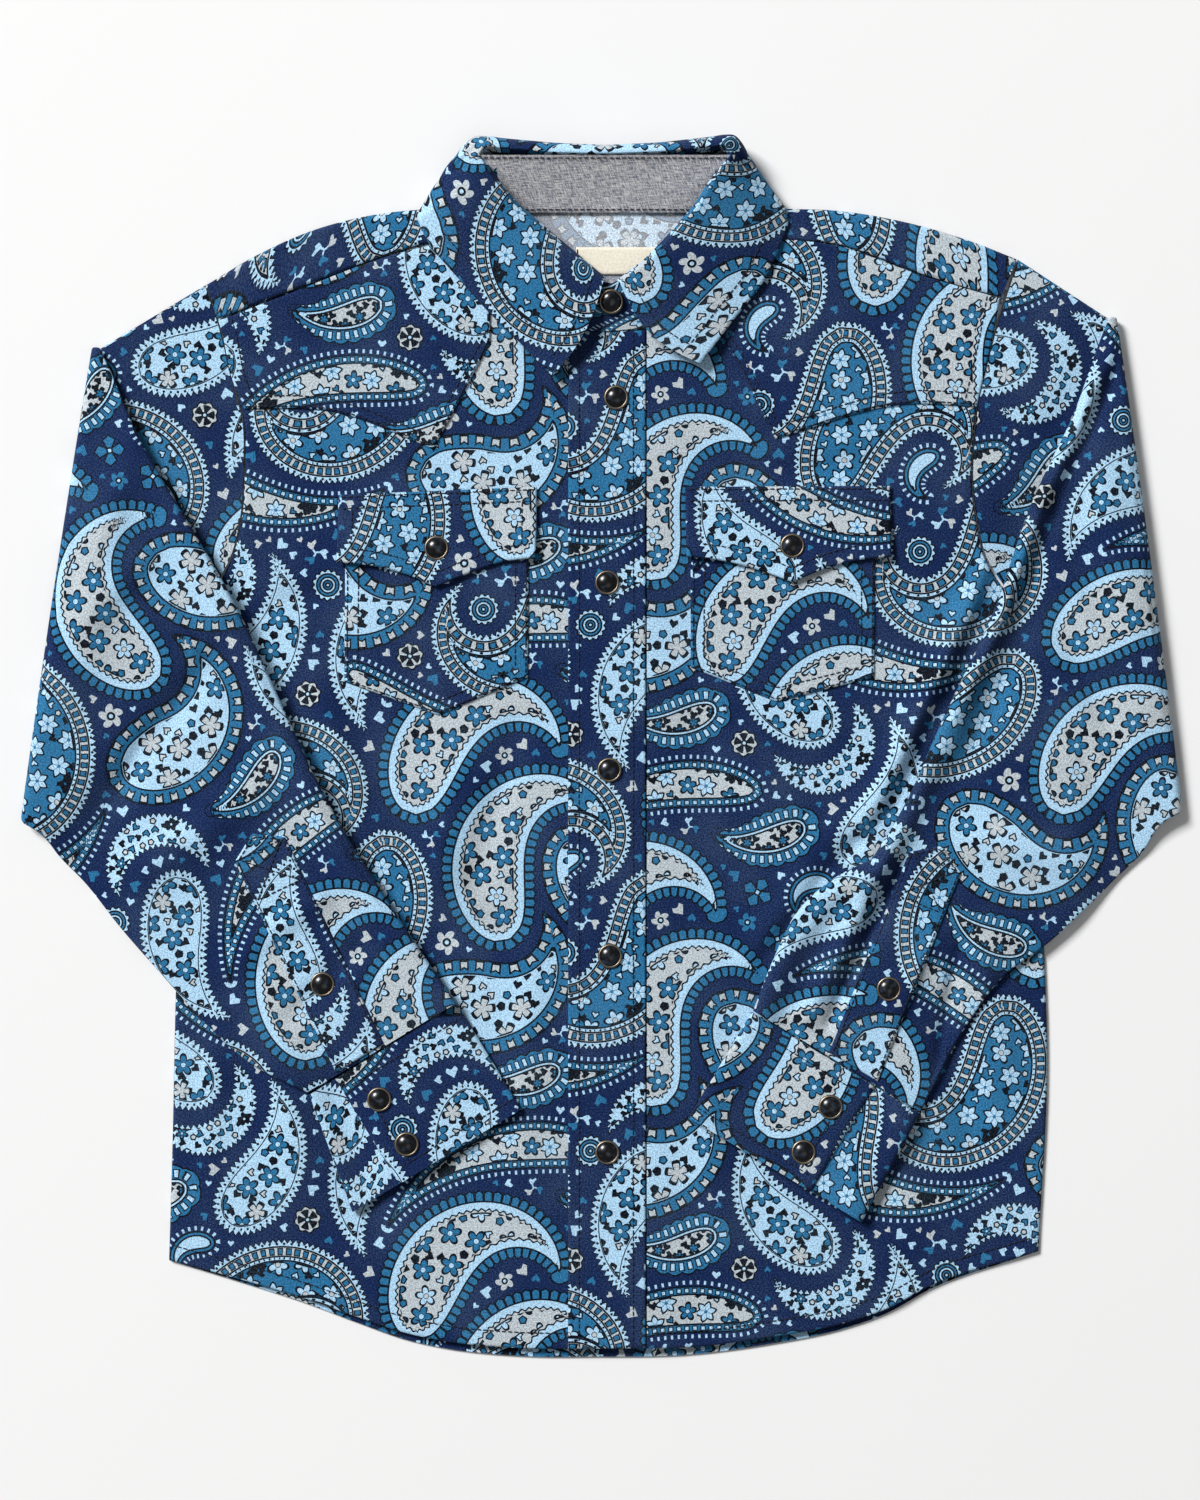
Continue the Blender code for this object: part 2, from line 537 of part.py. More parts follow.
class Sleeve:
    """A flattened tube: out from the armhole, doubled back at a fold, and down to the cuff."""

    LOOP = 7  # points on each wall of a section
    CAPS = (-50, 0, 50)  # degrees round each folded edge
    ROOT = 4  # sections from the armhole to the fold
    BEND = (36, 72, 108, 144)  # degrees of the sections in the fold
    ALONG = 15  # sections from the fold to the cuff

    def __init__(self, side, armhole, fold_line, forearm, folds, strap):
        self.side = side  # -1 for the right sleeve, 1 for the left one
        self.armhole = np.array(armhole[::-1], float) + (side * SEAM, 0)
        self.forearm = [row[1:] for row in forearm]
        self.folds = folds
        self.strap = strap
        self.upper, self.lower = np.array(fold_line[:2]), np.array(fold_line[2:])
        line = (self.lower - self.upper) / np.linalg.norm(self.lower - self.upper)
        self.out = np.array((-line[1], line[0])) * side
        self.inset = self.out * -(FOLD_RADIUS + SLEEVE_HALF)
        self.root_line = (np.array(armhole[0], float), self.lower)

    def half(self, share, fullness=1.0):
        """Half the tube's thickness at a share of its width."""
        return SLEEVE_EDGE + (SLEEVE_HALF - SLEEVE_EDGE) * fullness * math.sin(math.pi * share) ** 0.7

    def support(self, x, y):
        """What the lower side of the doubled-back sleeve lies on: its own root, the front or the table."""
        start, end = self.root_line
        line = (end - start) / np.linalg.norm(end - start)
        below = abs(line[0] * (y - start[1]) - line[1] * (x - start[0]))
        below *= 1 if self.under_root(x, y) else -1
        on_root = 1 - smoothstep((below - 8) / 27)
        beyond = self.side * x - (HALF_WIDTH + (3 if self.side > 0 else -4))
        on_body = 1 - smoothstep((beyond - 10) / 25)
        top = left_front_top(x, y) if self.side > 0 else front_top(x, y)
        root_height = 2 * FOLD_RADIUS
        body_height = top + REST
        return max(root_height * on_root, body_height * on_body)

    def under_root(self, x, y):
        """Whether a point lies below the lower edge of the root."""
        start, end = self.root_line
        share = (x - start[0]) / (end[0] - start[0])
        return y < start[1] + share * (end[1] - start[1])

    def fold_height(self, x, y):
        """Height of the broad folds at a point."""
        total = 0.0
        for x0, y0, x1, y1, width, height in self.folds:
            start, run = np.array((x0, y0), float), np.array((x1 - x0, y1 - y0), float)
            share = np.dot(np.array((x, y)) - start, run) / np.dot(run, run)
            nearest = start + run * min(max(share, 0.0), 1.0)
            away = math.hypot(x - nearest[0], y - nearest[1])
            total += height * math.exp(-((away / width) ** 2))
        return total

    def section(self, place):
        """Ends of the section at a share of the way from the fold to the cuff."""
        row = between(self.forearm, [place])[0]
        return row[:2], row[2:]

    def ring(self, spots, supports, up, skin, fullness=1.0):
        """Points round a section: one wall, a folded edge, the other wall and the other edge."""
        shares = np.linspace(0, 1, self.LOOP)
        halves = [self.half(share, fullness) for share in shares]
        ring = []
        across = (spots[-1] - spots[0]) / np.linalg.norm(spots[-1] - spots[0])
        normal = np.array((*self.out, 0.0)) * up[0] + np.array((0, 0, 1.0)) * up[1]
        inner = [
            np.array((*spot, below + half)) + np.array((*across, 0)) * SLEEVE_EDGE * (1 - 2 * share)
            for spot, below, half, share in zip(spots, supports, halves, shares)
        ]
        for sign, order in ((1, range(self.LOOP)), (-1, range(self.LOOP - 1, -1, -1))):
            for index in order:
                ring.append(inner[index] + normal * sign * (halves[index] - skin))
            end = inner[-1] if sign > 0 else inner[0]
            for angle in map(math.radians, self.CAPS):
                round_edge = normal * sign * -math.sin(angle)
                round_edge = round_edge + np.array((*across, 0)) * sign * math.cos(angle)
                ring.append(end + round_edge * (SLEEVE_EDGE - skin))
        return ring

    def rings(self, skin):
        """Every section from the armhole to the cuff, moved in from the outer face by skin."""
        shares = np.linspace(0, 1, self.LOOP)
        flat = np.zeros(self.LOOP)
        start = between(divide(self.armhole, 24), shares)
        root_end = self.upper + np.outer(shares, self.lower - self.upper) + self.inset
        near, far = self.section(0)
        top_end = near + np.outer(shares, far - near) + self.inset
        made = []
        for step in range(self.ROOT + 1):
            part = step / self.ROOT
            fullness = ROOT_FULLNESS + (1 - ROOT_FULLNESS) * part
            made.append(self.ring(start + (root_end - start) * part, flat, (0, 1), skin, fullness))
        for angle in map(math.radians, self.BEND):
            turn = (1 - math.cos(angle)) / 2
            spots = root_end + (top_end - root_end) * turn + self.out * FOLD_RADIUS * math.sin(angle)
            up = (-math.sin(angle), math.cos(angle))
            made.append(self.ring(spots, flat + 2 * FOLD_RADIUS * turn, up, skin))
        for step in range(self.ALONG + 1):
            place = step / self.ALONG
            near, far = self.section(place)
            pull = self.inset * (1 - smoothstep(place * 6))
            spots = near + np.outer(shares, far - near) + pull
            ring = self.ring(spots, [self.support(*spot) for spot in spots], (0, -1), skin)
            for index in range(self.LOOP + len(self.CAPS), len(ring) - len(self.CAPS)):
                ring[index][2] += self.fold_height(*ring[index][:2])
            made.append(ring)
        return np.array(made)

    def make(self, name):
        outer, inner = self.rings(0.0), self.rings(CLOTH)
        if self.side < 0:
            outer, inner = outer[:, ::-1], inner[:, ::-1]
        return add_shell(name, outer, inner, "print", wrap=True)

    def make_strap(self, name, sleeve):
        """The sleeve placket, a strip with a pointed top that lies on the sleeve."""
        foot, tip = np.array(self.strap["foot"], float), np.array(self.strap["tip"], float)
        run = tip - foot.mean(axis=0)
        run = run / np.linalg.norm(run)
        across = np.array((run[1], -run[0])) * STRAP_WIDTH / 2
        neck = tip - run * STRAP_POINT
        flat = patch(
            divide(foot, 4),
            divide([neck - across, tip, neck + across], 4),
            divide([foot[0], neck - across], 8),
            divide([foot[1], neck + across], 8),
        )
        add_sheet(name, seated(flat, sleeve, CLOTH + STRAP_REST), "print")


def cuff_path(width, puff):
    """Outer face of a cuff: place across and height, from the lapped end round to the end below."""
    top, low = CUFF_INNER + LIFT, CUFF_INNER
    path = [(CUFF_FACE, top), (52, top), (CUFF_FACE - CUFF_LAP, top), (28, top - 0.6), (14, low)]
    radius = low / 2
    path += [(radius - radius * math.sin(a), radius + radius * math.cos(a)) for a in (0, 0.9, 1.57, 2.24)]
    path += [(radius + (width - 2 * radius) * step / 5, 0.0) for step in range(5)]
    radius = (low + puff) / 2
    centre = width - radius
    path += [(centre + radius * math.sin(a), radius - radius * math.cos(a)) for a in (0, 0.8, 1.57, 2.34)]
    for place in (centre, 70, CUFF_FACE, 52, CUFF_FACE - CUFF_LAP + 1):
        path.append((place, low + puff * smoothstep((place - CUFF_FACE - 2) / 14)))
    return path


def cuff_point(cuff, side, across, along, height):
    """A point of a cuff in the shirt's frame."""
    corner, run = np.array(cuff["corner"]), np.array(cuff["across"])
    down = np.array((run[1], -run[0])) * side
    spot = corner + run * across + down * along
    top = left_front_top(*spot) if side > 0 else front_top(*spot)
    return np.array((*spot, top + REST + height))


def make_cuff(name, cuff, side):
    """A cuff: a strip round the wrist whose upper end laps over its lower end."""
    rows = 4
    grid = []
    for row in range(rows + 1):
        share = row / rows
        width = cuff["width"][0] + (cuff["width"][1] - cuff["width"][0]) * share
        path = cuff_path(width, cuff["puff"])
        grid.append([cuff_point(cuff, side, across, CUFF_HEIGHT * share, height) for across, height in path])
    grid = np.array(grid)
    if side < 0:
        grid = turned_over(grid)
    add_sheet(name, grid, "print")


def stand_grid():
    """Outer face of the collar stand, from its upper edge to its lower edge."""
    rows, stations = 3, 36
    read = between([row[1:] for row in STAND], np.linspace(0, 1, stations + 1))
    lower, upper = read[:, :3], read[:, 3:]
    return np.array([upper + (lower - upper) * row / rows for row in range(rows + 1)])


def make_stand():
    """The stand with its facing, which shows inside the back of the neck."""
    grid = stand_grid()
    normals = face_normals(grid)
    add_shell("collar_stand", grid, grid - normals * CLOTH, "print")
    step = (grid.shape[1] - 1) / (len(STAND) - 1)
    first, last = (round(row * step) for row in FACED)
    shares = np.linspace(FACING_MARGIN, 1 - FACING_MARGIN, len(grid))
    for_facing = []
    for depth in (LIFT, LIFT + CLOTH):
        inside = (grid - normals * depth)[:, first : last + 1]
        columns = [between(inside[:, column], shares, curve=False) for column in range(inside.shape[1])]
        for_facing.append(np.array(columns).transpose(1, 0, 2))
    add_shell("stand_facing", *for_facing, "chambray")


def fall_section(row, count):
    """Points from the roll of the collar out to its edge, turned under where it hangs over."""
    x, y, z, direction, length, reach, bow, shelf = row
    out = np.array((math.cos(math.radians(direction)), math.sin(math.radians(direction))))
    sideways = np.array((-out[1], out[0]))
    tall = (shelf - FALL_FOOT) / 2
    wide = min(FALL_BEND, tall, reach - ROLL_LIP)
    straight = min(reach - wide, length)
    turn = math.pi * (wide + tall) / 2
    points = [(x, y, z - ROLL_DROP)]
    for step in range(count):
        walked = ROLL_LIP + (length - ROLL_LIP) * step / (count - 1)
        if walked <= straight:
            share = walked / straight
            spot = out * walked + sideways * bow * math.sin(math.pi * share)
            height = z + (shelf - z) * share
        else:
            angle = min((walked - straight) / turn, 1.0) * math.pi
            back = max(walked - straight - turn, 0.0)
            spot = out * (straight + wide * math.sin(angle) - back)
            height = shelf - tall * (1 - math.cos(angle))
        points.append((x + spot[0], y + spot[1], height))
    return points


def make_collar():
    """The fall: two leaves on the fronts, and between them a roll that stands behind the neck."""
    count, stations = 9, 40
    rows = between([row[1:] for row in FALL], np.linspace(0, 1, stations + 1), curve=False)
    grid = np.array([fall_section(row, count) for row in rows]).transpose(1, 0, 2)
    add_shell("collar", grid, grid - face_normals(grid) * CLOTH, "print")


def snap_mesh():
    """The cap of a snap, turned from its profile."""
    shape = bmesh.new()
    ring = [shape.verts.new((radius * MM, 0, z * MM)) for radius, z in SNAP_PROFILE]
    edges = [shape.edges.new(pair) for pair in zip(ring[:-1], ring[1:])]
    bmesh.ops.spin(
        shape, geom=ring + edges, cent=(0, 0, 0), axis=(0, 0, 1), angle=math.tau, steps=SNAP_SIDES
    )
    bmesh.ops.remove_doubles(shape, verts=shape.verts, dist=0.00001)
    bmesh.ops.recalc_face_normals(shape, faces=shape.faces)
    mesh = bpy.data.meshes.new("snap")
    shape.to_mesh(mesh)
    shape.free()
    mesh.shade_smooth()
    return mesh


def add_snap(name, seat, tilt=(0.0, 0.0)):
    """A snap cap on a seat in millimetres, tilted about X and Y in radians."""
    made = bpy.data.objects.new(name, snap_mesh())
    made.data.materials.append(finish(name, "pearl"))
    made.location = (seat[0] * MM, seat[1] * MM, (seat[2] + GAP) * MM)
    made.rotation_euler = (*tilt, 0)
    bpy.context.collection.objects.link(made)


def make_snaps(sleeves):
    grid = stand_grid()
    lap = grid[:, -4:]
    slope = (lap[0, 1, 2] - lap[-1, 1, 2]) / (lap[0, 1, 1] - lap[-1, 1, 1])
    height = lap[-1, 1, 2] + slope * (BAND_SNAP[1] - lap[-1, 1, 1])
    add_snap("snap_band", (*BAND_SNAP, height + 0.15), (math.atan(slope), 0.0))
    for number, (x, y) in enumerate(PLACKET_SNAPS, 1):
        add_snap(f"snap_placket_{number}", (x, y, front_top(x, y) + LIFT))
    for side, x, y in FLAP_SNAPS:
        add_snap(f"snap_flap_{side}", (x, y, front_top(x, y) + 2 * LIFT))
    for side, cuff, sign in (("right", RIGHT_CUFF, -1), ("left", LEFT_CUFF, 1)):
        for number, (across, along) in enumerate(CUFF_SNAPS, 1):
            seat = cuff_point(cuff, sign, across, along, CUFF_INNER + LIFT)
            add_snap(f"snap_cuff_{side}_{number}", seat)
    for side, (sleeve, cloth) in sleeves.items():
        add_snap(f"snap_sleeve_{side}", seated([[sleeve.strap["snap"]]], cloth, CLOTH + STRAP_REST)[0][0])


def main():
    clear_scene()
    make_back()
    make_back_yoke()
    make_fronts()
    make_overlays()
    make_stand()
    make_collar()
    sleeves = {}
    for side, sleeve in (
        ("right", Sleeve(-1, RIGHT_ARMHOLE, RIGHT_FOLD_LINE, RIGHT_FOREARM, RIGHT_FOLDS, RIGHT_STRAP)),
        ("left", Sleeve(1, LEFT_ARMHOLE, LEFT_FOLD_LINE, LEFT_FOREARM, LEFT_FOLDS, LEFT_STRAP)),
    ):
        cloth = sleeve.make(f"sleeve_{side}")
        sleeve.make_strap(f"sleeve_placket_{side}", cloth)
        sleeves[side] = (sleeve, cloth)
    make_cuff("cuff_right", RIGHT_CUFF, -1)
    make_cuff("cuff_left", LEFT_CUFF, 1)
    make_snaps(sleeves)


main()
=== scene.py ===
import math

import bpy
import numpy as np
from mathutils import Matrix, Vector
from mathutils.bvhtree import BVHTree


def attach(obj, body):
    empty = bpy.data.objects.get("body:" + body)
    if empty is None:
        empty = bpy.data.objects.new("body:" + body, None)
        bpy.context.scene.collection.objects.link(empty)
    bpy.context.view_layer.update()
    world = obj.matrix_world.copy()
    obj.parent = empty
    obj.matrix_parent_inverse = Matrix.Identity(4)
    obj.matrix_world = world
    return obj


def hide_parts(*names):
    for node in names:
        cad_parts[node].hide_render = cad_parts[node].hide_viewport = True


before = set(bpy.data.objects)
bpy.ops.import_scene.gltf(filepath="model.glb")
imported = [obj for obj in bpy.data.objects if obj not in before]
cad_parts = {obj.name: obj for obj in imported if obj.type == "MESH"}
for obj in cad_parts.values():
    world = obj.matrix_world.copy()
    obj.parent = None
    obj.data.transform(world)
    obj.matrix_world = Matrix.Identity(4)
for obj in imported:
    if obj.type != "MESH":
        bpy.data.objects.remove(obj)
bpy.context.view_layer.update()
bpy.ops.object.select_all(action="DESELECT")

# ----------------------------------------
# The printed cotton that the whole shirt is cut from: a light poplin, screen printed in four
# colours with black lines. The repeat is filled with curled drops (boteh), crescents, roundels
# and small sprigs on a navy ground.
# ----------------------------------------

MM = 0.001
REPEAT = np.array((208.0, 236.0))


def tint(red, green, blue):
    return (*((value / 255) ** 2.2 for value in (red, green, blue)), 1.0)


TINTS = {
    "navy": tint(20, 38, 77),
    "teal": tint(41, 104, 146),
    "light": tint(165, 202, 229),
    "grey": tint(176, 186, 192),
    "black": tint(6, 12, 24),
}
TIP = 0.25  # half the thickness of a motif's tips


def bent_shape(heading, half, length, width):
    """Outline of a shape whose middle line runs in these directions, up one side and back."""
    ahead = np.stack((np.sin(heading), np.cos(heading)), 1)
    spine = np.cumsum(ahead * length / (len(heading) - 1), axis=0)
    half = half / half.max() * width / 2 + TIP
    normal = np.stack((np.cos(heading), -np.sin(heading)), 1) * half[:, None]
    outline = np.concatenate(((spine + normal)[::-1], spine - normal))
    return outline - (outline.max(0) + outline.min(0)) / 2


def drop(length, width, turn, late, slim=1.15):
    """A curled drop, which turns the more the nearer it comes to its tail."""
    t = np.linspace(0, 1, 45)
    return bent_shape(np.radians(turn) * t**late, t**0.5 * (1 - t) ** slim, length, width)


def crescent(length, width, turn):
    t = np.linspace(0, 1, 31)
    return bent_shape(np.radians(turn) * (t - 0.5), np.sin(np.pi * t) ** 0.8, length, width)


def disc(radius):
    angle = np.linspace(0, math.tau, 40, endpoint=False)
    return np.stack((np.sin(angle), np.cos(angle)), 1) * radius


# Motifs: outline, and how far its fringe stands out
MOTIFS = {
    "bead": (drop(136, 42, 245, 1.7), 1.6),
    "petal": (drop(108, 32, 165, 1.5), 5.4),
    "flag": (drop(98, 42, 170, 1.35), 0.6),
    "ladder": (drop(112, 20, 75, 1.3), 3.0),
    "saw": (drop(78, 30, 95, 1.4), 1.8),
    "moon": (crescent(70, 14, 190), 1.8),
    "fan": (drop(42, 12, 60, 1.6), 7.0),
    "hook": (drop(30, 9, 170, 1.3), 3.2),
    "gear": (disc(6.4), 1.8),
    "rose": (disc(6.0), 1.0),
    "bow": (disc(8.0), 0.5),
}
KINDS = list(MOTIFS)

# Where they lie in the repeat: kind, x, y, degrees turned, flipped or not
LAYOUT = (
    ("bead", 0, 0, 0, 1), ("flag", 160, 195, 180, -1), ("petal", 114, 212, 30, 1),
    ("bead", 32, 179, 195, 1), ("ladder", 206, 146, 225, -1), ("flag", 101, 151, 225, -1),
    ("petal", 91, 23, 0, 1), ("saw", 162, 127, 75, 1), ("moon", 181, 92, 300, -1),
    ("saw", 200, 73, 300, -1), ("fan", 111, 110, 120, 1), ("ladder", 102, 63, 75, -1),
    ("fan", 151, 57, 120, 1), ("moon", 58, 111, 255, 1), ("saw", 49, 66, 120, -1),
    ("hook", 14, 219, 90, -1), ("gear", 25, 95, 30, 1), ("hook", 171, 31, 60, -1),
    ("rose", 16, 46, 180, 1), ("bow", 157, 10, 105, -1), ("gear", 13, 184, 90, 1),
    ("rose", 188, 163, 270, 1), ("bow", 148, 31, 150, -1), ("rose", 142, 98, 165, 1),
)
SPRIG_SIZES = (8.6, 6.6, 5.0, 3.7, 2.6, 1.9)  # radii
SPRIG_GAP = 0.7
FAR = 60.0
NEARBY = 18.0  # past a motif's own reach, its distance is no longer worked out
BATCH = 6000  # points that are measured at a time


def outline_reading(points, outline):
    """Place along an outline and signed distance from it, in millimetres, for many points."""
    edge = np.roll(outline, -1, 0) - outline
    lengths = np.linalg.norm(edge, axis=1)
    start = np.cumsum(lengths) - lengths
    after = outline + edge
    places, away = np.empty(len(points)), np.empty(len(points))
    for first in range(0, len(points), BATCH):
        batch = slice(first, first + BATCH)
        spot = points[batch, None, :]
        to = spot - outline
        share = np.clip((to * edge).sum(2) / lengths**2, 0, 1)
        gap = np.hypot(*(np.moveaxis(to - edge * share[..., None], 2, 0)))
        near = gap.argmin(1)
        row = np.arange(len(near))
        x, y = spot[..., 0], spot[..., 1]
        rise = np.where(edge[:, 1] == 0, 1e-9, edge[:, 1])
        level = (outline[:, 1] > y) != (after[:, 1] > y)
        inside = (level & (x < edge[:, 0] * (y - outline[:, 1]) / rise + outline[:, 0])).sum(1) % 2
        away[batch] = gap[row, near] * (1 - 2 * inside)
        places[batch] = start[near] + share[row, near] * lengths[near]
    return places, away


def in_motif(offset, turn, flip):
    """Turns offsets from a motif's middle into the motif's own x and y."""
    cos, sin = math.cos(math.radians(turn)), math.sin(math.radians(turn))
    x, y = offset[..., 0], offset[..., 1]
    return np.stack(((cos * x + sin * y) * flip, cos * y - sin * x), -1)


def wrapped(offset):
    return offset - REPEAT * np.round(offset / REPEAT)


def plan_repeat():
    """Which motif or sprig each square millimetre of the repeat belongs to, and the sprigs."""
    across, up = REPEAT.astype(int)
    spots = np.stack(np.meshgrid(np.arange(across), np.arange(up)), -1).reshape(-1, 2) + 0.5
    field = np.full(len(spots), FAR)
    owner = np.full(len(spots), -1)
    for number, (kind, x, y, turn, flip) in enumerate(LAYOUT):
        outline, fringe = MOTIFS[kind]
        own = in_motif(wrapped(spots - (x, y)), turn, flip)
        close = np.flatnonzero(np.hypot(*own.T) < np.hypot(*outline.T).max() + NEARBY)
        reading = outline_reading(own[close], outline)[1] - fringe
        nearer = reading < field[close]
        field[close[nearer]] = reading[nearer]
        owner[close[nearer]] = number
    sprigs = []
    for radius in SPRIG_SIZES:
        room = radius + SPRIG_GAP
        while True:
            fits = np.where(field >= room, field, np.inf)
            spot = fits.argmin()
            if not np.isfinite(fits[spot]):
                break
            reading = np.hypot(*wrapped(spots - spots[spot]).T) - radius
            nearer = reading < field
            owner[nearer] = len(LAYOUT) + len(sprigs)
            field = np.minimum(field, reading)
            sprigs.append((*spots[spot], radius))
    return owner.reshape(up, across), np.array(sprigs)


OWNER, SPRIGS = plan_repeat()


def feed(tree, node, inputs):
    """Gives a node's inputs numbers and colours, or links them to the outputs of others."""
    for name, value in dict(inputs).items():
        if isinstance(value, bpy.types.NodeSocket):
            tree.links.new(value, node.inputs[name])
        else:
            node.inputs[name].default_value = value


def add_node(tree, kind, inputs=(), **settings):
    node = tree.nodes.new("ShaderNode" + kind)
    for name, value in settings.items():
        setattr(node, name, value)
    feed(tree, node, inputs)
    return node


def noise(tree, place, scale, detail, dimensions="2D"):
    inputs = {"Vector": place, "Scale": scale, "Detail": detail}
    return add_node(tree, "TexNoise", inputs, noise_dimensions=dimensions).outputs["Fac"]


def blend(tree, share, below, above):
    """One colour over another."""
    return add_node(tree, "Mix", {0: share, 6: below, 7: above}, data_type="RGBA").outputs[2]


def roughen(tree, height, strength, distance):
    """A fine relief, as a normal for the shader."""
    inputs = {"Height": height, "Strength": strength, "Distance": distance}
    return add_node(tree, "Bump", inputs).outputs[0]


def surface(name, inputs=()):
    """A material whose shader has these inputs."""
    made = bpy.data.materials.new(name)
    made.use_nodes = True
    feed(made.node_tree, made.node_tree.nodes["Principled BSDF"], inputs)
    return made


class Field:
    """A number that a material works out from other numbers."""

    def __init__(self, tree, socket):
        self.tree, self.socket = tree, socket

    def math(self, kind, *others):
        values = [value.socket if isinstance(value, Field) else value for value in (self, *others)]
        made = add_node(self.tree, "Math", enumerate(values), operation=kind)
        return Field(self.tree, made.outputs[0])

    def __add__(self, other):
        return self.math("ADD", other)

    def __sub__(self, other):
        return self.math("SUBTRACT", other)

    def __rsub__(self, other):
        return self * -1.0 + other

    def __mul__(self, other):
        return self.math("MULTIPLY", other)

    def __abs__(self):
        return self.math("ABSOLUTE")

    def under(self, limit):
        return self.math("LESS_THAN", limit)

    def both(self, *others):
        """Inside this field and inside the others."""
        made = self
        for other in others:
            made = made.math("MAXIMUM", other)
        return made

    def spaced(self, period):
        """Distance from the nearest of evenly spaced places."""
        return self.math("PINGPONG", period / 2)


def map_fields(tree, layer):
    """The two numbers that a mesh carries in one of its maps."""
    place = add_node(tree, "UVMap", uv_map=layer).outputs[0]
    split = add_node(tree, "SeparateXYZ", {0: place})
    return Field(tree, split.outputs[0]), Field(tree, split.outputs[1])


def length_of(x, y):
    return (x * x + y * y).math("SQRT")


def heart(across, up, size):
    """A cut heart, point down, from the distance to its axis and the height above its middle."""
    tip = (across * 1.2 - up - size) * 0.64
    return tip.both(up - across * 0.6 - 0.25 * size, (across + up * 0.5 - 0.95 * size) * 0.9)


LINE = 0.4  # half the width of a printed line
FINE_LINE = 0.15
SHARP = 40  # makes a chance's limit a hard edge


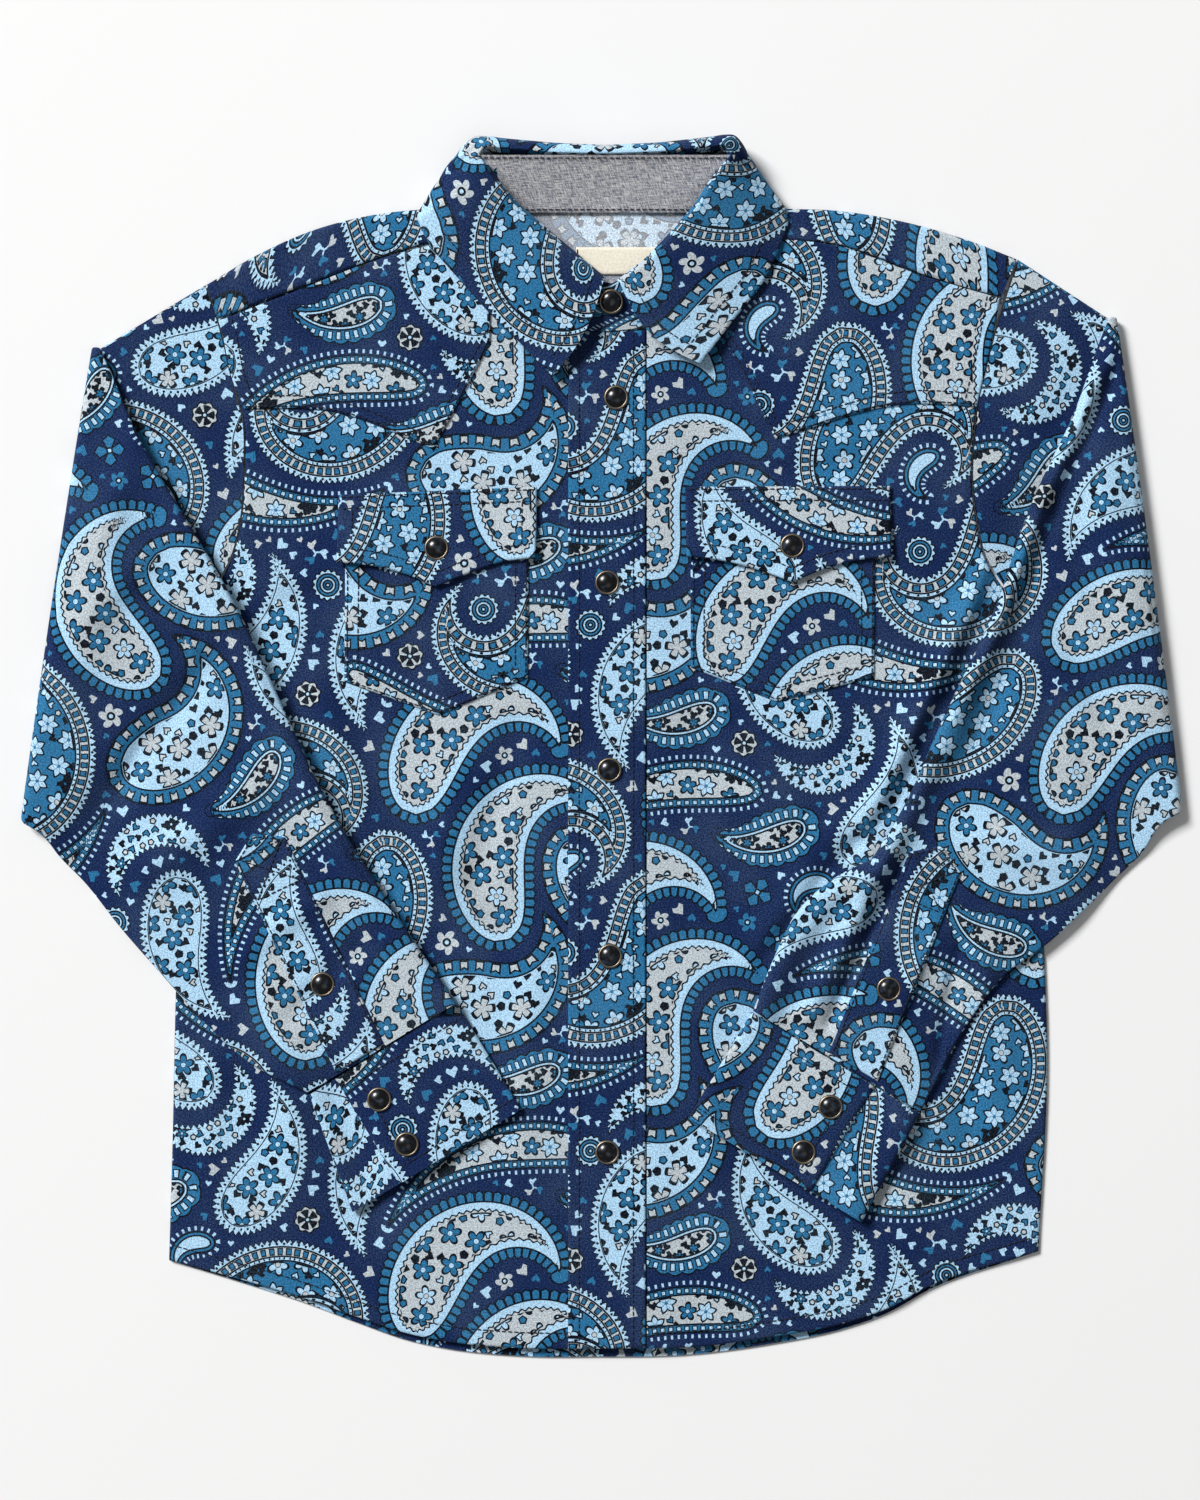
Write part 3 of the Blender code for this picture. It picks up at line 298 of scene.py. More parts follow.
class Paint:
    """A printed material, built up one colour over another."""

    def __init__(self, name):
        self.made = surface(name)
        self.tree = self.made.node_tree
        self.x, self.y = map_fields(self.tree, "Motif")
        self.s, self.d = map_fields(self.tree, "Outline")
        self.colour = TINTS["navy"]

    def mix(self, share, colour):
        self.colour = blend(self.tree, share.socket, self.colour, TINTS.get(colour, colour))

    def fill(self, field, colour):
        self.mix(field.under(0.0), colour)

    def shape(self, field, colour, line=LINE):
        """A filled shape with a black line round it."""
        self.mix(field.under(line), "black")
        self.mix(field.under(-line), colour)

    def dots(self, depth, period, radius, colour):
        self.fill(length_of(self.s.spaced(period), self.d + depth) - radius, colour)

    def boxes(self, depth, period, wide, tall, colour, line):
        box = (self.s.spaced(period) - wide).both(abs(self.d + depth) - tall)
        self.shape(box, colour, line) if line else self.fill(box, colour)

    def sawn(self, period, tall):
        """The outline with saw teeth on it."""
        return self.d + self.s.spaced(period) * (-4 * tall / period) + tall

    def cells(self, size, x, y):
        """The nearest of evenly strewn spots: offset from it, its place and its two chances."""
        join = add_node(self.tree, "CombineXYZ", {0: x.socket, 1: y.socket}).outputs[0]
        inputs = {"Scale": 1 / size, "Randomness": 0.4, "Vector": join}
        cells = add_node(self.tree, "TexVoronoi", inputs, voronoi_dimensions="2D")
        found = []
        for output, splitter in (("Position", "SeparateXYZ"), ("Color", "SeparateColor")):
            split = add_node(self.tree, splitter, {0: cells.outputs[output]})
            found += [Field(self.tree, split.outputs[index]) for index in (0, 1)]
        return x - found[0], y - found[1], *found

    def cut_shape(self, form, away, angle, radius):
        """One cut flower or leaf, from the distance and direction to its middle."""
        if form == "flower":
            return (away + abs((angle * 2.5).math("SINE")) * (-0.55 * radius) - 0.45 * radius) * 0.7
        if form == "burst":
            ray = angle.math("PINGPONG", math.pi / 6) * (-0.8 * radius)
            return (away + ray - 0.58 * radius) * 0.8
        if form == "maple":
            lobe = angle.math("PINGPONG", math.pi / 5) * (0.95 * radius)
            nick = angle.math("PINGPONG", math.pi / 10) * (-0.9 * radius)
            return (away + lobe + nick - 0.95 * radius) * 0.5
        if form == "heart":
            return heart(abs(away * angle.math("SINE")), away * angle.math("COSINE"), radius)
        return away * angle.math("PINGPONG", math.pi / 5).math("COSINE") - radius * 0.8

    def strew(self, inset, size, rows, small_size, small_rows):
        """Cut flowers and leaves strewn inside a motif, with small shapes in the room between.
        A row is the share of the spots that it takes, its form, radius and colour."""
        big = self.cells(size, self.x, self.y)
        small = self.cells(small_size, self.x, self.y)
        beside = self.cells(size, small[2], small[3])
        room = max(row[2] for row in rows) * 0.95 + 1.3 - length_of(beside[0], beside[1])
        bare = beside[4] * -SHARP + SHARP * sum(row[0] for row in rows)
        edge = self.d + inset
        for (x, y, _, _, pick, spin), within, kinds in (
            (small, edge.both(room.math("MINIMUM", bare)), small_rows), (big, edge, rows),
        ):
            away = length_of(x, y)
            angle = y.math("ARCTAN2", x) + spin * math.tau
            low = 0.0
            for share, form, radius, colour in kinds:
                chosen = (abs(pick - (low + share / 2)) - share / 2) * SHARP
                low += share
                inside = self.cut_shape(form, away, angle, radius).both(within, chosen)
                self.shape(inside, colour, LINE if radius > 2 else LINE * 0.8)
                if form == "flower":
                    middle = (away - radius * 0.25).both(edge, chosen)
                    self.shape(middle, "grey" if colour == "light" else "light", FINE_LINE)
                if form == "burst":
                    spoke = abs((angle * 3).math("SINE")) * away - 0.3
                    self.fill(spoke.both(inside, away * -1.0 + 0.9), "black")
                    self.fill((away - 0.8).both(edge, chosen), "teal")

    def finish(self):
        """Fades the wrong side, mottles the colour, lays over it a pale haze that is partly pale
        fibre ends and partly painted sheen, and gives it the surface of dry cotton.
        """
        tree = self.tree
        veiled = blend(tree, 0.4, self.colour, tint(216, 222, 232))
        pale = add_node(tree, "HueSaturation", {"Saturation": 0.8, "Color": veiled}).outputs[0]
        wrong_side = add_node(tree, "Attribute", attribute_name="Faded").outputs["Fac"]
        self.mix(Field(tree, wrong_side), pale)
        cloth = add_node(tree, "UVMap", uv_map="Cloth").outputs[0]
        grain = Field(tree, noise(tree, cloth, 1.5, 2.0))
        # slow noise: drives the broad patches of painted sheen in the pale haze below
        cloud = Field(tree, noise(tree, cloth, 0.03, 2.0))
        value = (grain * 1.8 + 0.1).socket
        inputs = {"Color": self.colour, "Value": value}
        self.colour = add_node(tree, "HueSaturation", inputs).outputs[0]
        # Pale haze of the light tint. Its fine flecks from the grain stand for pale fibre ends; its
        # broad patches from the slow noise are painted sheen, lighter where the cloth would catch
        # the light.
        self.mix((grain * 0.2 + cloud * 0.1 - 0.135).math("MAXIMUM", 0.0), "light")
        feed(tree, tree.nodes["Principled BSDF"], {
            "Base Color": self.colour, "Normal": roughen(tree, grain.socket, 0.21, 0.0001),
            "Roughness": 0.85, "Specular IOR Level": 0.1, "Sheen Weight": 0.03,
        })
        return self.made


def bead(p):
    """Light band with dots, grey band with beads, and flowers on teal inside."""
    p.shape(p.sawn(2.6, 0.9), "light")
    p.dots(1.3, 3.4, 0.62, "black")
    p.shape(p.d + 2.6, "grey")
    p.boxes(4.75, 4.3, 1.2, 1.35, "teal", 0.3)
    p.shape(p.d + 6.9, "light")
    p.dots(7.8, 2.8, 0.5, "black")
    p.shape(p.d + 8.8, "teal")
    p.strew(
        9.6, 12.0,
        (
            (0.5, "burst", 5.2, "light"), (0.25, "flower", 4.8, "light"),
            (0.15, "maple", 4.6, "grey"),
        ),
        5.0,
        ((0.45, "heart", 1.9, "light"), (0.15, "block", 1.5, "grey"), (0.2, "heart", 1.8, "black")),
    )


def petal(p):
    """Teal petals all round, a light band with a wavy inner edge, and flowers on grey."""
    near = p.s.spaced(3.9)
    p.shape((near - 1.78).both(p.d + near * 0.6 - 4.9), "teal")
    p.shape(p.d, "light")
    p.shape(p.d + (p.s * 1.7).math("SINE") * 0.5 + 3.8, "grey")
    p.strew(
        5.2, 12.5,
        (
            (0.5, "flower", 5.0, "teal"), (0.2, "flower", 4.6, "light"),
            (0.15, "burst", 5.0, "light"),
        ),
        5.4,
        ((0.3, "block", 1.9, "teal"), (0.2, "heart", 2.0, "light"), (0.15, "heart", 2.0, "black")),
    )


def flag(p):
    """A wide teal band with notched grey blocks round a light middle with cut leaves."""
    p.shape(p.d, "teal")
    near = p.s.spaced(7.4)
    notch = near * -0.6 - (p.d + 4.6) + 1.1
    p.shape((near - 1.8).both(p.d + 0.7, notch), "grey")
    p.shape(p.d + 6.4, "light")
    p.strew(
        7.4, 14.0, ((0.6, "maple", 5.4, "grey"), (0.1, "flower", 4.6, "teal")),
        5.8,
        ((0.3, "block", 1.9, "teal"), (0.2, "heart", 2.0, "grey"), (0.2, "heart", 2.0, "black")),
    )


def ladder(p):
    """A long leaf with ticks outside, a teal band with squares, and blossoms on grey."""
    p.boxes(-1.9, 3.1, 0.5, 0.85, "light", 0)
    p.shape(p.d, "teal")
    p.boxes(1.75, 3.6, 0.95, 0.95, "light", 0.25)
    p.shape(p.d + 3.5, "grey")
    p.strew(
        4.2, 11.0, ((0.55, "burst", 4.8, "light"), (0.25, "flower", 4.0, "teal")),
        4.7, ((0.4, "heart", 1.8, "teal"), (0.25, "heart", 1.9, "black")),
    )


def saw(p):
    """A light drop with a sawn edge and a row of dots, teal flowers and grey scraps inside."""
    p.shape(p.sawn(2.8, 1.1), "light")
    p.dots(1.9, 3.4, 0.62, "black")
    p.mix((abs(p.d + 3.3) - 0.24).under(0.0), "black")
    p.strew(
        4.0, 12.0, ((0.5, "flower", 4.8, "teal"), (0.2, "maple", 4.6, "grey")),
        5.4,
        ((0.3, "block", 1.8, "teal"), (0.2, "heart", 1.9, "grey"), (0.2, "heart", 1.9, "black")),
    )


def moon(p):
    """A light crescent with a sawn edge and small hearts along it."""
    p.shape(p.sawn(2.6, 1.0), "light")
    p.strew(
        1.3, 9.0, ((0.3, "flower", 2.6, "teal"),),
        4.4,
        ((0.4, "heart", 1.9, "teal"), (0.2, "block", 1.4, "grey"), (0.15, "heart", 1.6, "black")),
    )


def fan(p):
    """A small drop that opens into a scalloped fan with light rays."""
    total = np.linalg.norm(np.diff(MOTIFS["fan"][0], axis=0), axis=1).sum()
    spread = (p.s.math("PINGPONG", total / 2) * (1 / 20.0)).math("MINIMUM", 1.0)
    scallop = abs((p.s * (math.pi / 5.4)).math("SINE")) * -1.3
    p.shape(p.d + scallop - spread * 5.2, "teal")
    p.shape((p.s.spaced(3.6) - 0.95).both(abs(p.d - 2.6) - spread * 1.8), "light", 0.25)
    p.shape(p.d, "light")
    p.shape(p.d + 1.5, "grey")
    p.strew(2.0, 8.0, ((0.5, "maple", 2.6, "teal"),), 4.0, ((0.6, "heart", 1.7, "black"),))


def hook(p):
    """A small teal drop with a light middle and ticks outside."""
    p.boxes(-1.6, 2.6, 0.45, 0.9, "light", 0)
    p.shape(p.d, "teal")
    p.shape(p.d + 1.7, "light")


def gear(p):
    """A roundel of rings with a toothed edge."""
    away = length_of(p.x, p.y)
    angle = p.y.math("ARCTAN2", p.x)
    p.shape(away - 6.6 - (angle * 14).math("SINE") * 0.5, "light")
    for radius, colour in ((5.0, "teal"), (3.5, "light"), (2.1, "teal"), (0.9, "light")):
        p.shape(away - radius, colour)


def rose(p):
    """A grey roundel with black petals."""
    away = length_of(p.x, p.y)
    angle = p.y.math("ARCTAN2", p.x)
    p.shape(away - 5.6 - (angle * 8).math("SINE") * 0.45, "grey")
    petals = abs((angle * 2.5).math("COSINE"))
    p.fill((away - 4.6).both(0.42 - petals, 1.4 - away), "black")
    p.shape(away - 1.1, "light")


def bow(p):
    """Four teal leaves round a light middle."""
    x, y = abs(p.x), abs(p.y)
    for along, across in ((x, y), (y, x)):
        p.shape((across - along * 0.5 - 0.5).both(along + across * 0.75 - 7.0), "teal")
    p.shape(x.both(y) - 1.1, "light")


STEM_SPRIG = 4.2  # sprigs of a larger radius are stems or flowers, smaller ones single hearts


def sprigs(p):
    """The ground, with stems that end in hearts, and little flowers. The map named Outline holds
    each sprig's chance and its radius."""
    chance, radius = p.s, p.d
    away = length_of(p.x, p.y)
    angle = p.y.math("ARCTAN2", p.x) + away * 0.6
    third = math.tau / 3
    arm = angle.math("PINGPONG", third / 2)
    along, across = away * arm.math("COSINE"), away * arm.math("SINE")
    small, large = (radius - STEM_SPRIG) * 10, (STEM_SPRIG - radius) * 10
    stems = large.both((chance - 0.7) * SHARP)
    p.fill((across - 0.06).both(along - 0.5, stems), "light")
    ends = heart(across, along - 0.62, 0.38)
    for sector, colour in (
        (abs(angle) - third / 2, "grey"), (third / 2 - angle, "teal"), (angle + third / 2, "light"),
    ):
        p.fill(ends.both(stems, sector), colour)
    bloom = (away + abs((angle * 2.5).math("SINE")) * -0.45 - 0.4).both(large)
    p.fill(bloom.both((abs(chance - 0.78) - 0.08) * SHARP), "grey")
    p.fill(bloom.both((abs(chance - 0.93) - 0.07) * SHARP), "teal")
    p.fill((away - 0.3).both(large, (0.7 - chance) * SHARP), "black")
    p.fill((away - 0.14).both(large, (0.7 - chance) * SHARP), "light")
    single = heart(abs(p.x), p.y, 0.85).both(small)
    for low, high, colour in ((0.0, 0.4, "light"), (0.4, 0.7, "teal"), (0.7, 0.95, "grey")):
        p.fill(single.both((abs(chance - (low + high) / 2) - (high - low) / 2) * SHARP), colour)


def printed(name, paint):
    made = Paint("print " + name)
    paint(made)
    return made.finish()


PAINTS = (bead, petal, flag, ladder, saw, moon, fan, hook, gear, rose, bow, sprigs)
PRINT = [printed(name, paint) for name, paint in zip((*KINDS, "sprigs"), PAINTS)]
STRETCH = 2.5  # at most, of the place along an outline across one small face


def add_map(mesh, name, corners):
    mesh.uv_layers.new(name=name).data.foreach_set("uv", corners.astype(np.float32).ravel())


def lay_print(mesh, cloth):
    """Puts the print on a mesh of quads whose corners have these places in the uncut cloth."""
    middle = cloth.mean(axis=1)
    across, up = np.floor(np.mod(middle, REPEAT)).astype(int).T
    owner = OWNER[np.minimum(up, len(OWNER) - 1), np.minimum(across, OWNER.shape[1] - 1)]
    motif, outline = np.zeros_like(cloth), np.zeros_like(cloth)
    kinds = np.full(len(cloth), len(KINDS))
    for number, (kind, x, y, turn, flip) in enumerate(LAYOUT):
        faces = np.flatnonzero(owner == number)
        if not len(faces):
            continue
        line = MOTIFS[kind][0]
        home = middle[faces] - wrapped(middle[faces] - (x, y))
        own = in_motif(cloth[faces] - home[:, None], turn, flip)
        place, away = outline_reading(np.concatenate((own.reshape(-1, 2), own.mean(axis=1))), line)
        count = len(faces) * 4
        total = np.linalg.norm(np.roll(line, -1, 0) - line, axis=1).sum()
        step = place[:count].reshape(-1, 4) - place[count:, None]
        step -= total * np.round(step / total)
        reach = STRETCH * np.linalg.norm(own - own.mean(axis=1, keepdims=True), axis=2)
        motif[faces] = own
        outline[faces, :, 0] = place[count:, None] + np.clip(step, -reach, reach)
        outline[faces, :, 1] = away[:count].reshape(-1, 4)
        kinds[faces] = KINDS.index(kind)
    faces = np.flatnonzero(owner >= len(LAYOUT))
    number = owner[faces] - len(LAYOUT)
    sprig = SPRIGS[number]
    home = middle[faces] - wrapped(middle[faces] - sprig[:, :2])
    offset = (cloth[faces] - home[:, None]) / sprig[:, 2][:, None, None]
    turn = number * 2.4
    cos, sin = np.cos(turn)[:, None], np.sin(turn)[:, None]
    motif[faces, :, 0] = cos * offset[..., 0] + sin * offset[..., 1]
    motif[faces, :, 1] = cos * offset[..., 1] - sin * offset[..., 0]
    outline[faces, :, 0] = np.mod(number * 0.618, 1.0)[:, None]
    outline[faces, :, 1] = sprig[:, 2][:, None]
    for layer, corners in (("Cloth", cloth), ("Motif", motif), ("Outline", outline)):
        add_map(mesh, layer, corners)
    for made in PRINT:
        mesh.materials.append(made)
    mesh.polygons.foreach_set("material_index", kinds.astype(np.int32))


# ----------------------------------------
# Back panel: one layer of the printed cotton, right side down on the surface, with a curved
# shirt-tail hem. The sizes are in millimetres, with the origin under the middle of the shirt.
# ----------------------------------------

CLOTH = 1.0  # cloth with its fullness, as the solids have it
GAP = 0.3
LIFT = CLOTH + GAP  # from one face to the face of the piece that lies on it
PITCH = 1.7  # of the lines that the meshes are made of
BACK_PITCH = 2.6
LIPS = (0.12, 0.45, 0.95)  # lines of a mesh close to a turned edge
# Edges of the body: x, y
BACK_HEM = (
    (-194.5, -230.5), (-157, -242), (-134, -249.5), (-110, -258.5), (-87, -266.5), (-71, -270),
    (-36, -273.6), (0, -273.9), (36, -273.2), (74, -268.5), (110, -261), (127, -255), (149, -243),
    (186, -230), (196.5, -226.5),
)
RIGHT_SIDE = (
    (-194.5, -230.5), (-193, -180), (-191.5, -111), (-189.5, -46), (-187, 21), (-184, 59.5),
)
LEFT_SIDE = ((196.5, -226.5), (200.5, -140), (199, -89), (196.5, -23), (194, 21), (191, 59.5))
RIGHT_ARMHOLE = (
    (-184, 59.5), (-174, 71), (-166.5, 84.5), (-162, 102.5), (-160.5, 125), (-161, 147),
    (-165.5, 164), (-171, 188), (-177.5, 208),
)
LEFT_ARMHOLE = (
    (191, 59.5), (181, 71), (172.5, 85), (168.5, 102.5), (166.5, 122), (167, 135), (168.5, 152),
    (175.5, 183), (186.5, 219.5),
)
BACK_SEAM = ((-160.8, 150), (-80, 136), (2, 112), (80, 136), (168.3, 150))


def smoothstep(value):
    value = np.clip(value, 0.0, 1.0)
    return value * value * (3 - 2 * value)


def curve(points, shares, sharp=30):
    """Reads a smooth line through points at shares of its length, keeping its sharp corners."""
    points = np.array(points, float)
    step = np.diff(points, axis=0)
    lengths = np.linalg.norm(step, axis=1)
    unit = step / lengths[:, None]
    after, before = np.vstack((unit, unit[-1:])), np.vstack((unit[:1], unit))
    turn = (after * before).sum(1) < math.cos(math.radians(sharp))
    weight = np.concatenate(([1.0], lengths)), np.concatenate((lengths, [1.0]))
    tangent = before * weight[1][:, None] + after * weight[0][:, None]
    tangent /= (weight[0] + weight[1])[:, None]
    dense = [points[:1]]
    t = np.linspace(0, 1, 13)[1:, None]
    for index, length in enumerate(lengths):
        start = after[index] if turn[index] else tangent[index]
        end = before[index + 1] if turn[index + 1] else tangent[index + 1]
        dense.append(
            (2 * t**3 - 3 * t**2 + 1) * points[index] + (t**3 - 2 * t**2 + t) * start * length
            + (3 * t**2 - 2 * t**3) * points[index + 1] + (t**3 - t**2) * end * length
        )
    dense = np.concatenate(dense)
    run = np.concatenate(([0.0], np.cumsum(np.linalg.norm(np.diff(dense, axis=0), axis=1))))
    shares = np.array(shares, float)
    for corner in np.flatnonzero(turn[1:-1]) + 1:
        place = run[corner * 12] / run[-1]
        nearest = np.abs(shares - place).argmin()
        if 0 < nearest < len(shares) - 1:
            shares[nearest] = place
    return np.stack([np.interp(shares * run[-1], run, values) for values in dense.T], -1)


def shares_of(length, pitch=PITCH, lips=(True, True)):
    """Places from 0 to 1 about a pitch apart, closer together at a turned edge."""
    count = max(4, round(length / pitch))
    shares = list(np.linspace(0, 1, count + 1))
    for end, lip in enumerate(lips):
        if lip:
            shares += [abs(end - lip_line / length) for lip_line in LIPS]
    return np.array(sorted(shares))


def patch(bottom, top, left, right, pitch=PITCH, lips=(True, True, True, True)):
    """Points in rows inside four edges. The lips say which of the left, right, lower and upper
    edges are turned under."""
    wide = np.linalg.norm(np.diff(np.array(bottom), axis=0), axis=1).sum()
    tall = np.linalg.norm(np.diff(np.array(left), axis=0), axis=1).sum()
    us, vs = shares_of(wide, pitch, lips[:2]), shares_of(tall, pitch, lips[2:])
    bottom, top, left, right = curve(bottom, us), curve(top, us), curve(left, vs), curve(right, vs)
    u, v = us[None, :, None], vs[:, None, None]
    ruled = (1 - v) * bottom[None] + v * top[None] + (1 - u) * left[:, None] + u * right[:, None]
    corners = (
        (1 - u) * (1 - v) * bottom[0] + u * (1 - v) * bottom[-1]
        + (1 - u) * v * top[0] + u * v * top[-1]
    )
    return ruled - corners


def turned_edge(flat, sides, lip=1.0):
    """Share by which each point of a grid drops at its turned edges: 1 on the edge, 0 inside."""
    drop_share = np.zeros(flat.shape[:2])
    lines = {"left": flat[:, :1], "right": flat[:, -1:], "bottom": flat[:1], "top": flat[-1:]}
    for side in sides:
        away = np.linalg.norm(flat - lines[side], axis=2)
        inside = np.clip(1 - away / lip, 0, 1)
        drop_share = np.maximum(drop_share, 1 - np.sqrt(1 - inside**2))
    return drop_share


def with_height(flat, height):
    return np.concatenate((flat, np.broadcast_to(height, flat.shape[:-1])[..., None]), axis=-1)


def cut_from(flat, turn=0.0, shift=(0.0, 0.0)):
    """Where points of a flat panel lie in the uncut cloth."""
    cos, sin = math.cos(math.radians(turn)), math.sin(math.radians(turn))
    x, y = flat[..., 0], flat[..., 1]
    return np.stack((cos * x + sin * y + shift[0], cos * y - sin * x + shift[1]), -1)


def area_of(flat):
    """Area of a flat grid, in square metres."""
    a, b = flat[1:, 1:] - flat[:-1, :-1], flat[1:, :-1] - flat[:-1, 1:]
    return float(np.abs(a[..., 0] * b[..., 1] - a[..., 1] * b[..., 0]).sum()) / 2 * MM * MM


def grid_quads(rows, columns, wrap=False):
    low = np.arange(rows - 1)[:, None] * columns
    column = np.arange(columns if wrap else columns - 1)[None]
    after = (column + 1) % columns
    corners = (low + column, low + after, low + columns + after, low + columns + column)
    return np.stack(corners, -1).reshape(-1, 4)


def add_mesh(name, points, faces):
    mesh = bpy.data.meshes.new(name)
    mesh.from_pydata((points * MM).tolist(), [], faces)
    mesh.shade_smooth()
    made = bpy.data.objects.new(name, mesh)
    bpy.context.collection.objects.link(made)
    return made


def fit(made, nodes):
    """Puts a piece in the place of the solids that it dresses."""
    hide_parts(*nodes)
    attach(made, "root")
    return made


def add_printed(name, parts, nodes, wrap=False):
    """A piece of printed cloth, from grids of points with their places in the uncut cloth. The
    third item of a part says whether it shows the wrong side."""
    points, faces, places, faded, first = [], [], [], [], 0
    for grid, cloth, wrong in parts:
        rows, columns = grid.shape[:2]
        quads = grid_quads(rows, columns, wrap)
        corner = cloth.reshape(-1, 2)[quads]
        if wrap:
            seam = np.arange(len(quads)) % columns == columns - 1
            onward = (0.6 * np.sign(np.median(corner[:, 1, 0] - corner[:, 0, 0])), 0)
            corner[seam, 1], corner[seam, 2] = corner[seam, 0] + onward, corner[seam, 3] + onward
        points.append(grid.reshape(-1, 3))
        faces.append(quads + first)
        places.append(corner)
        faded += [float(wrong)] * len(quads)
        first += rows * columns
    made = add_mesh(name, np.concatenate(points), np.concatenate(faces).tolist())
    lay_print(made.data, np.concatenate(places))
    side = made.data.attributes.new("Faded", "FLOAT", "FACE")
    side.data.foreach_set("value", np.array(faded, np.float32))
    return fit(made, nodes)


def below(points, height):
    return [point for point in points if point[1] < height]


ALL_ROUND = ("left", "right", "bottom", "top")
YOKE_LEVEL = 149.7  # the back reaches up to here at the armholes
right_arm, left_arm = (below(line[1:], YOKE_LEVEL) for line in (RIGHT_ARMHOLE, LEFT_ARMHOLE))
back_top = [right_arm[-1], *[(x, y - 0.6) for x, y in BACK_SEAM[1:-1]], left_arm[-1]]
right_edge, left_edge = [*RIGHT_SIDE, *right_arm], [*LEFT_SIDE, *left_arm]
back_flat = patch(BACK_HEM, back_top, right_edge, left_edge, BACK_PITCH)
back_grid = with_height(back_flat, turned_edge(back_flat, ALL_ROUND) * 0.9)
back_cloth = cut_from(back_flat, 0, (35, 60))
back = add_printed("printed_back", [(back_grid[:, ::-1], back_cloth[:, ::-1], False)], ["back"])
area_of(back_flat)


# ----------------------------------------
# Fronts: two panels of the same cotton that lie on the back, seamed to it at the sides. They carry
# the soft folds that the cloth takes when the sleeves are laid over them.
# ----------------------------------------

SIDE_TOP = 2 * CLOTH + GAP  # outer face of the fronts at the side seams
CROWN = 1.9  # what the fronts rise by from the side seams to the middle
HALF_WIDTH = 196.0
HEM_STEP = 4.0  # the front hem lies this much above the back hem in the middle
NECK = (
    (-59, 230), (-50, 216), (-37, 201.5), (-19, 189), (-1, 184.5), (17, 186), (35, 196),
    (51, 212.5), (63, 230),
)
CENTRE_FRONT = 10.0  # the right front runs to here, under the placket
PLACKET_SEAM = 20.3  # the left front starts here, beside the placket
STEP_END = 48.0  # and comes down from the placket's height by here
STEP_WIDE = 28.0
CENTRE_FOOT = -269.8  # y of the fronts' hem in the middle
LOWEST = 0.1  # no edge of a front comes nearer to the surface
# Shoulders: x, y of the folded shoulder line, and x, y of the seam in front of it
RIGHT_SHOULDER = (
    (-177.5, 208, -172.5, 192.5), (-154.5, 221.5, -148, 202), (-129.5, 232.5, -124, 211),
    (-101.5, 239.5, -100, 220), (-78, 242, -78.5, 226.5), (-57, 243, -59, 230),
)
LEFT_SHOULDER = (
    (58, 243, 63, 230), (86, 242, 85, 228), (102, 241.5, 103, 226.5), (139, 235.5, 143, 213),
    (166, 227.5, 166, 206), (186.5, 219.5, 179.5, 202.5),
)

# Folds of the fronts: x, y of both ends, half width, height (below zero for a trough)
FRONT_FOLDS = (
    (172, 80, 150, 30, 5.5, 3.4), (152, 34, 118, -34, 6, 4.0), (176, -100, 188, -160, 12, 2.4),
    (150, -120, 172, -190, 8, -1.8), (128, -150, 140, -215, 9, 1.4),
    (-150, -110, -135, -200, 12, 2.0), (-120, -150, -100, -215, 8, -1.6),
    (-172, -120, -180, -205, 7, 1.2), (60, -10, 95, -60, 11, 1.6), (40, 14, 70, -34, 7, -1.1),
    (-60, -5, -80, -80, 10, 1.6), (-38, 10, -56, -60, 7, -1.2), (-30, -90, -38, -200, 9, 1.2),
    (45, -100, 52, -220, 10, 1.3), (-150, 60, -116, -24, 6, -1.9), (-108, -28, -72, -84, 6, -2.0),
    (-92, -22, -60, -70, 7, 1.7), (-140, 67, -116, 70, 6, -1.3), (-132, 20, -112, -16, 7, 1.6),
    (128, 128, 60, 122, 6, -0.9), (-130, 125, -70, 118, 6, -0.9),
    # where the cloth sinks beside the sleeves' inner edges, and rolls up beyond
    (-176, 92, -163, 72, 4, -0.9), (-163, 72, -139, 19, 3.6, -1.2),
    (-139, 19, -121, -20, 3.6, -1.3), (-121, -20, -94, -65, 3.6, -1.3),
    (-94, -65, -70, -105, 3.6, -1.3), (-152, 74, -126, 20, 6, 1.1), (-126, 20, -108, -20, 6, 1.2),
    (-108, -20, -84, -62, 6, 1.1), (181, 90, 171, 60, 4, -0.9), (171, 60, 147, 10, 3.6, -1.2),
    (147, 10, 131, -27, 3.6, -1.2), (131, -27, 100, -58, 3.6, -1.3), (100, -58, 73, -95, 3.6, -1.3),
    (160, 58, 136, 10, 6, 1.3), (118, -24, 88, -56, 6, 1.2), (88, -60, 64, -96, 6, 1.0),
)
FOLD_GAIN = 1.35  # all folds stand higher than their rows say


def folds_at(x, y, folds):
    """Height of soft ridges and troughs at many points."""
    total = np.zeros(np.shape(x))
    for x0, y0, x1, y1, width, height in folds:
        run = np.array((x1 - x0, y1 - y0), float)
        share = np.clip(((x - x0) * run[0] + (y - y0) * run[1]) / (run @ run), 0, 1)
        away = np.hypot(x - x0 - share * run[0], y - y0 - share * run[1])
        along = 0.55 + 0.45 * np.sin(math.pi * share)
        total = total + FOLD_GAIN * height * np.exp(-((away / width) ** 2)) * along
    return total


def ripple(x, y, size, seed=0.0):
    """A gentle unevenness between about -1 and 1."""
    total = 0.0
    for step in range(5):
        angle = seed + step * 2.4
        wave = math.tau / size * (0.7 + 0.23 * step)
        place = x * math.cos(angle) + y * math.sin(angle)
        total = total + np.sin(place * wave + seed * 3 + step * 1.7)
    return total / 3.2


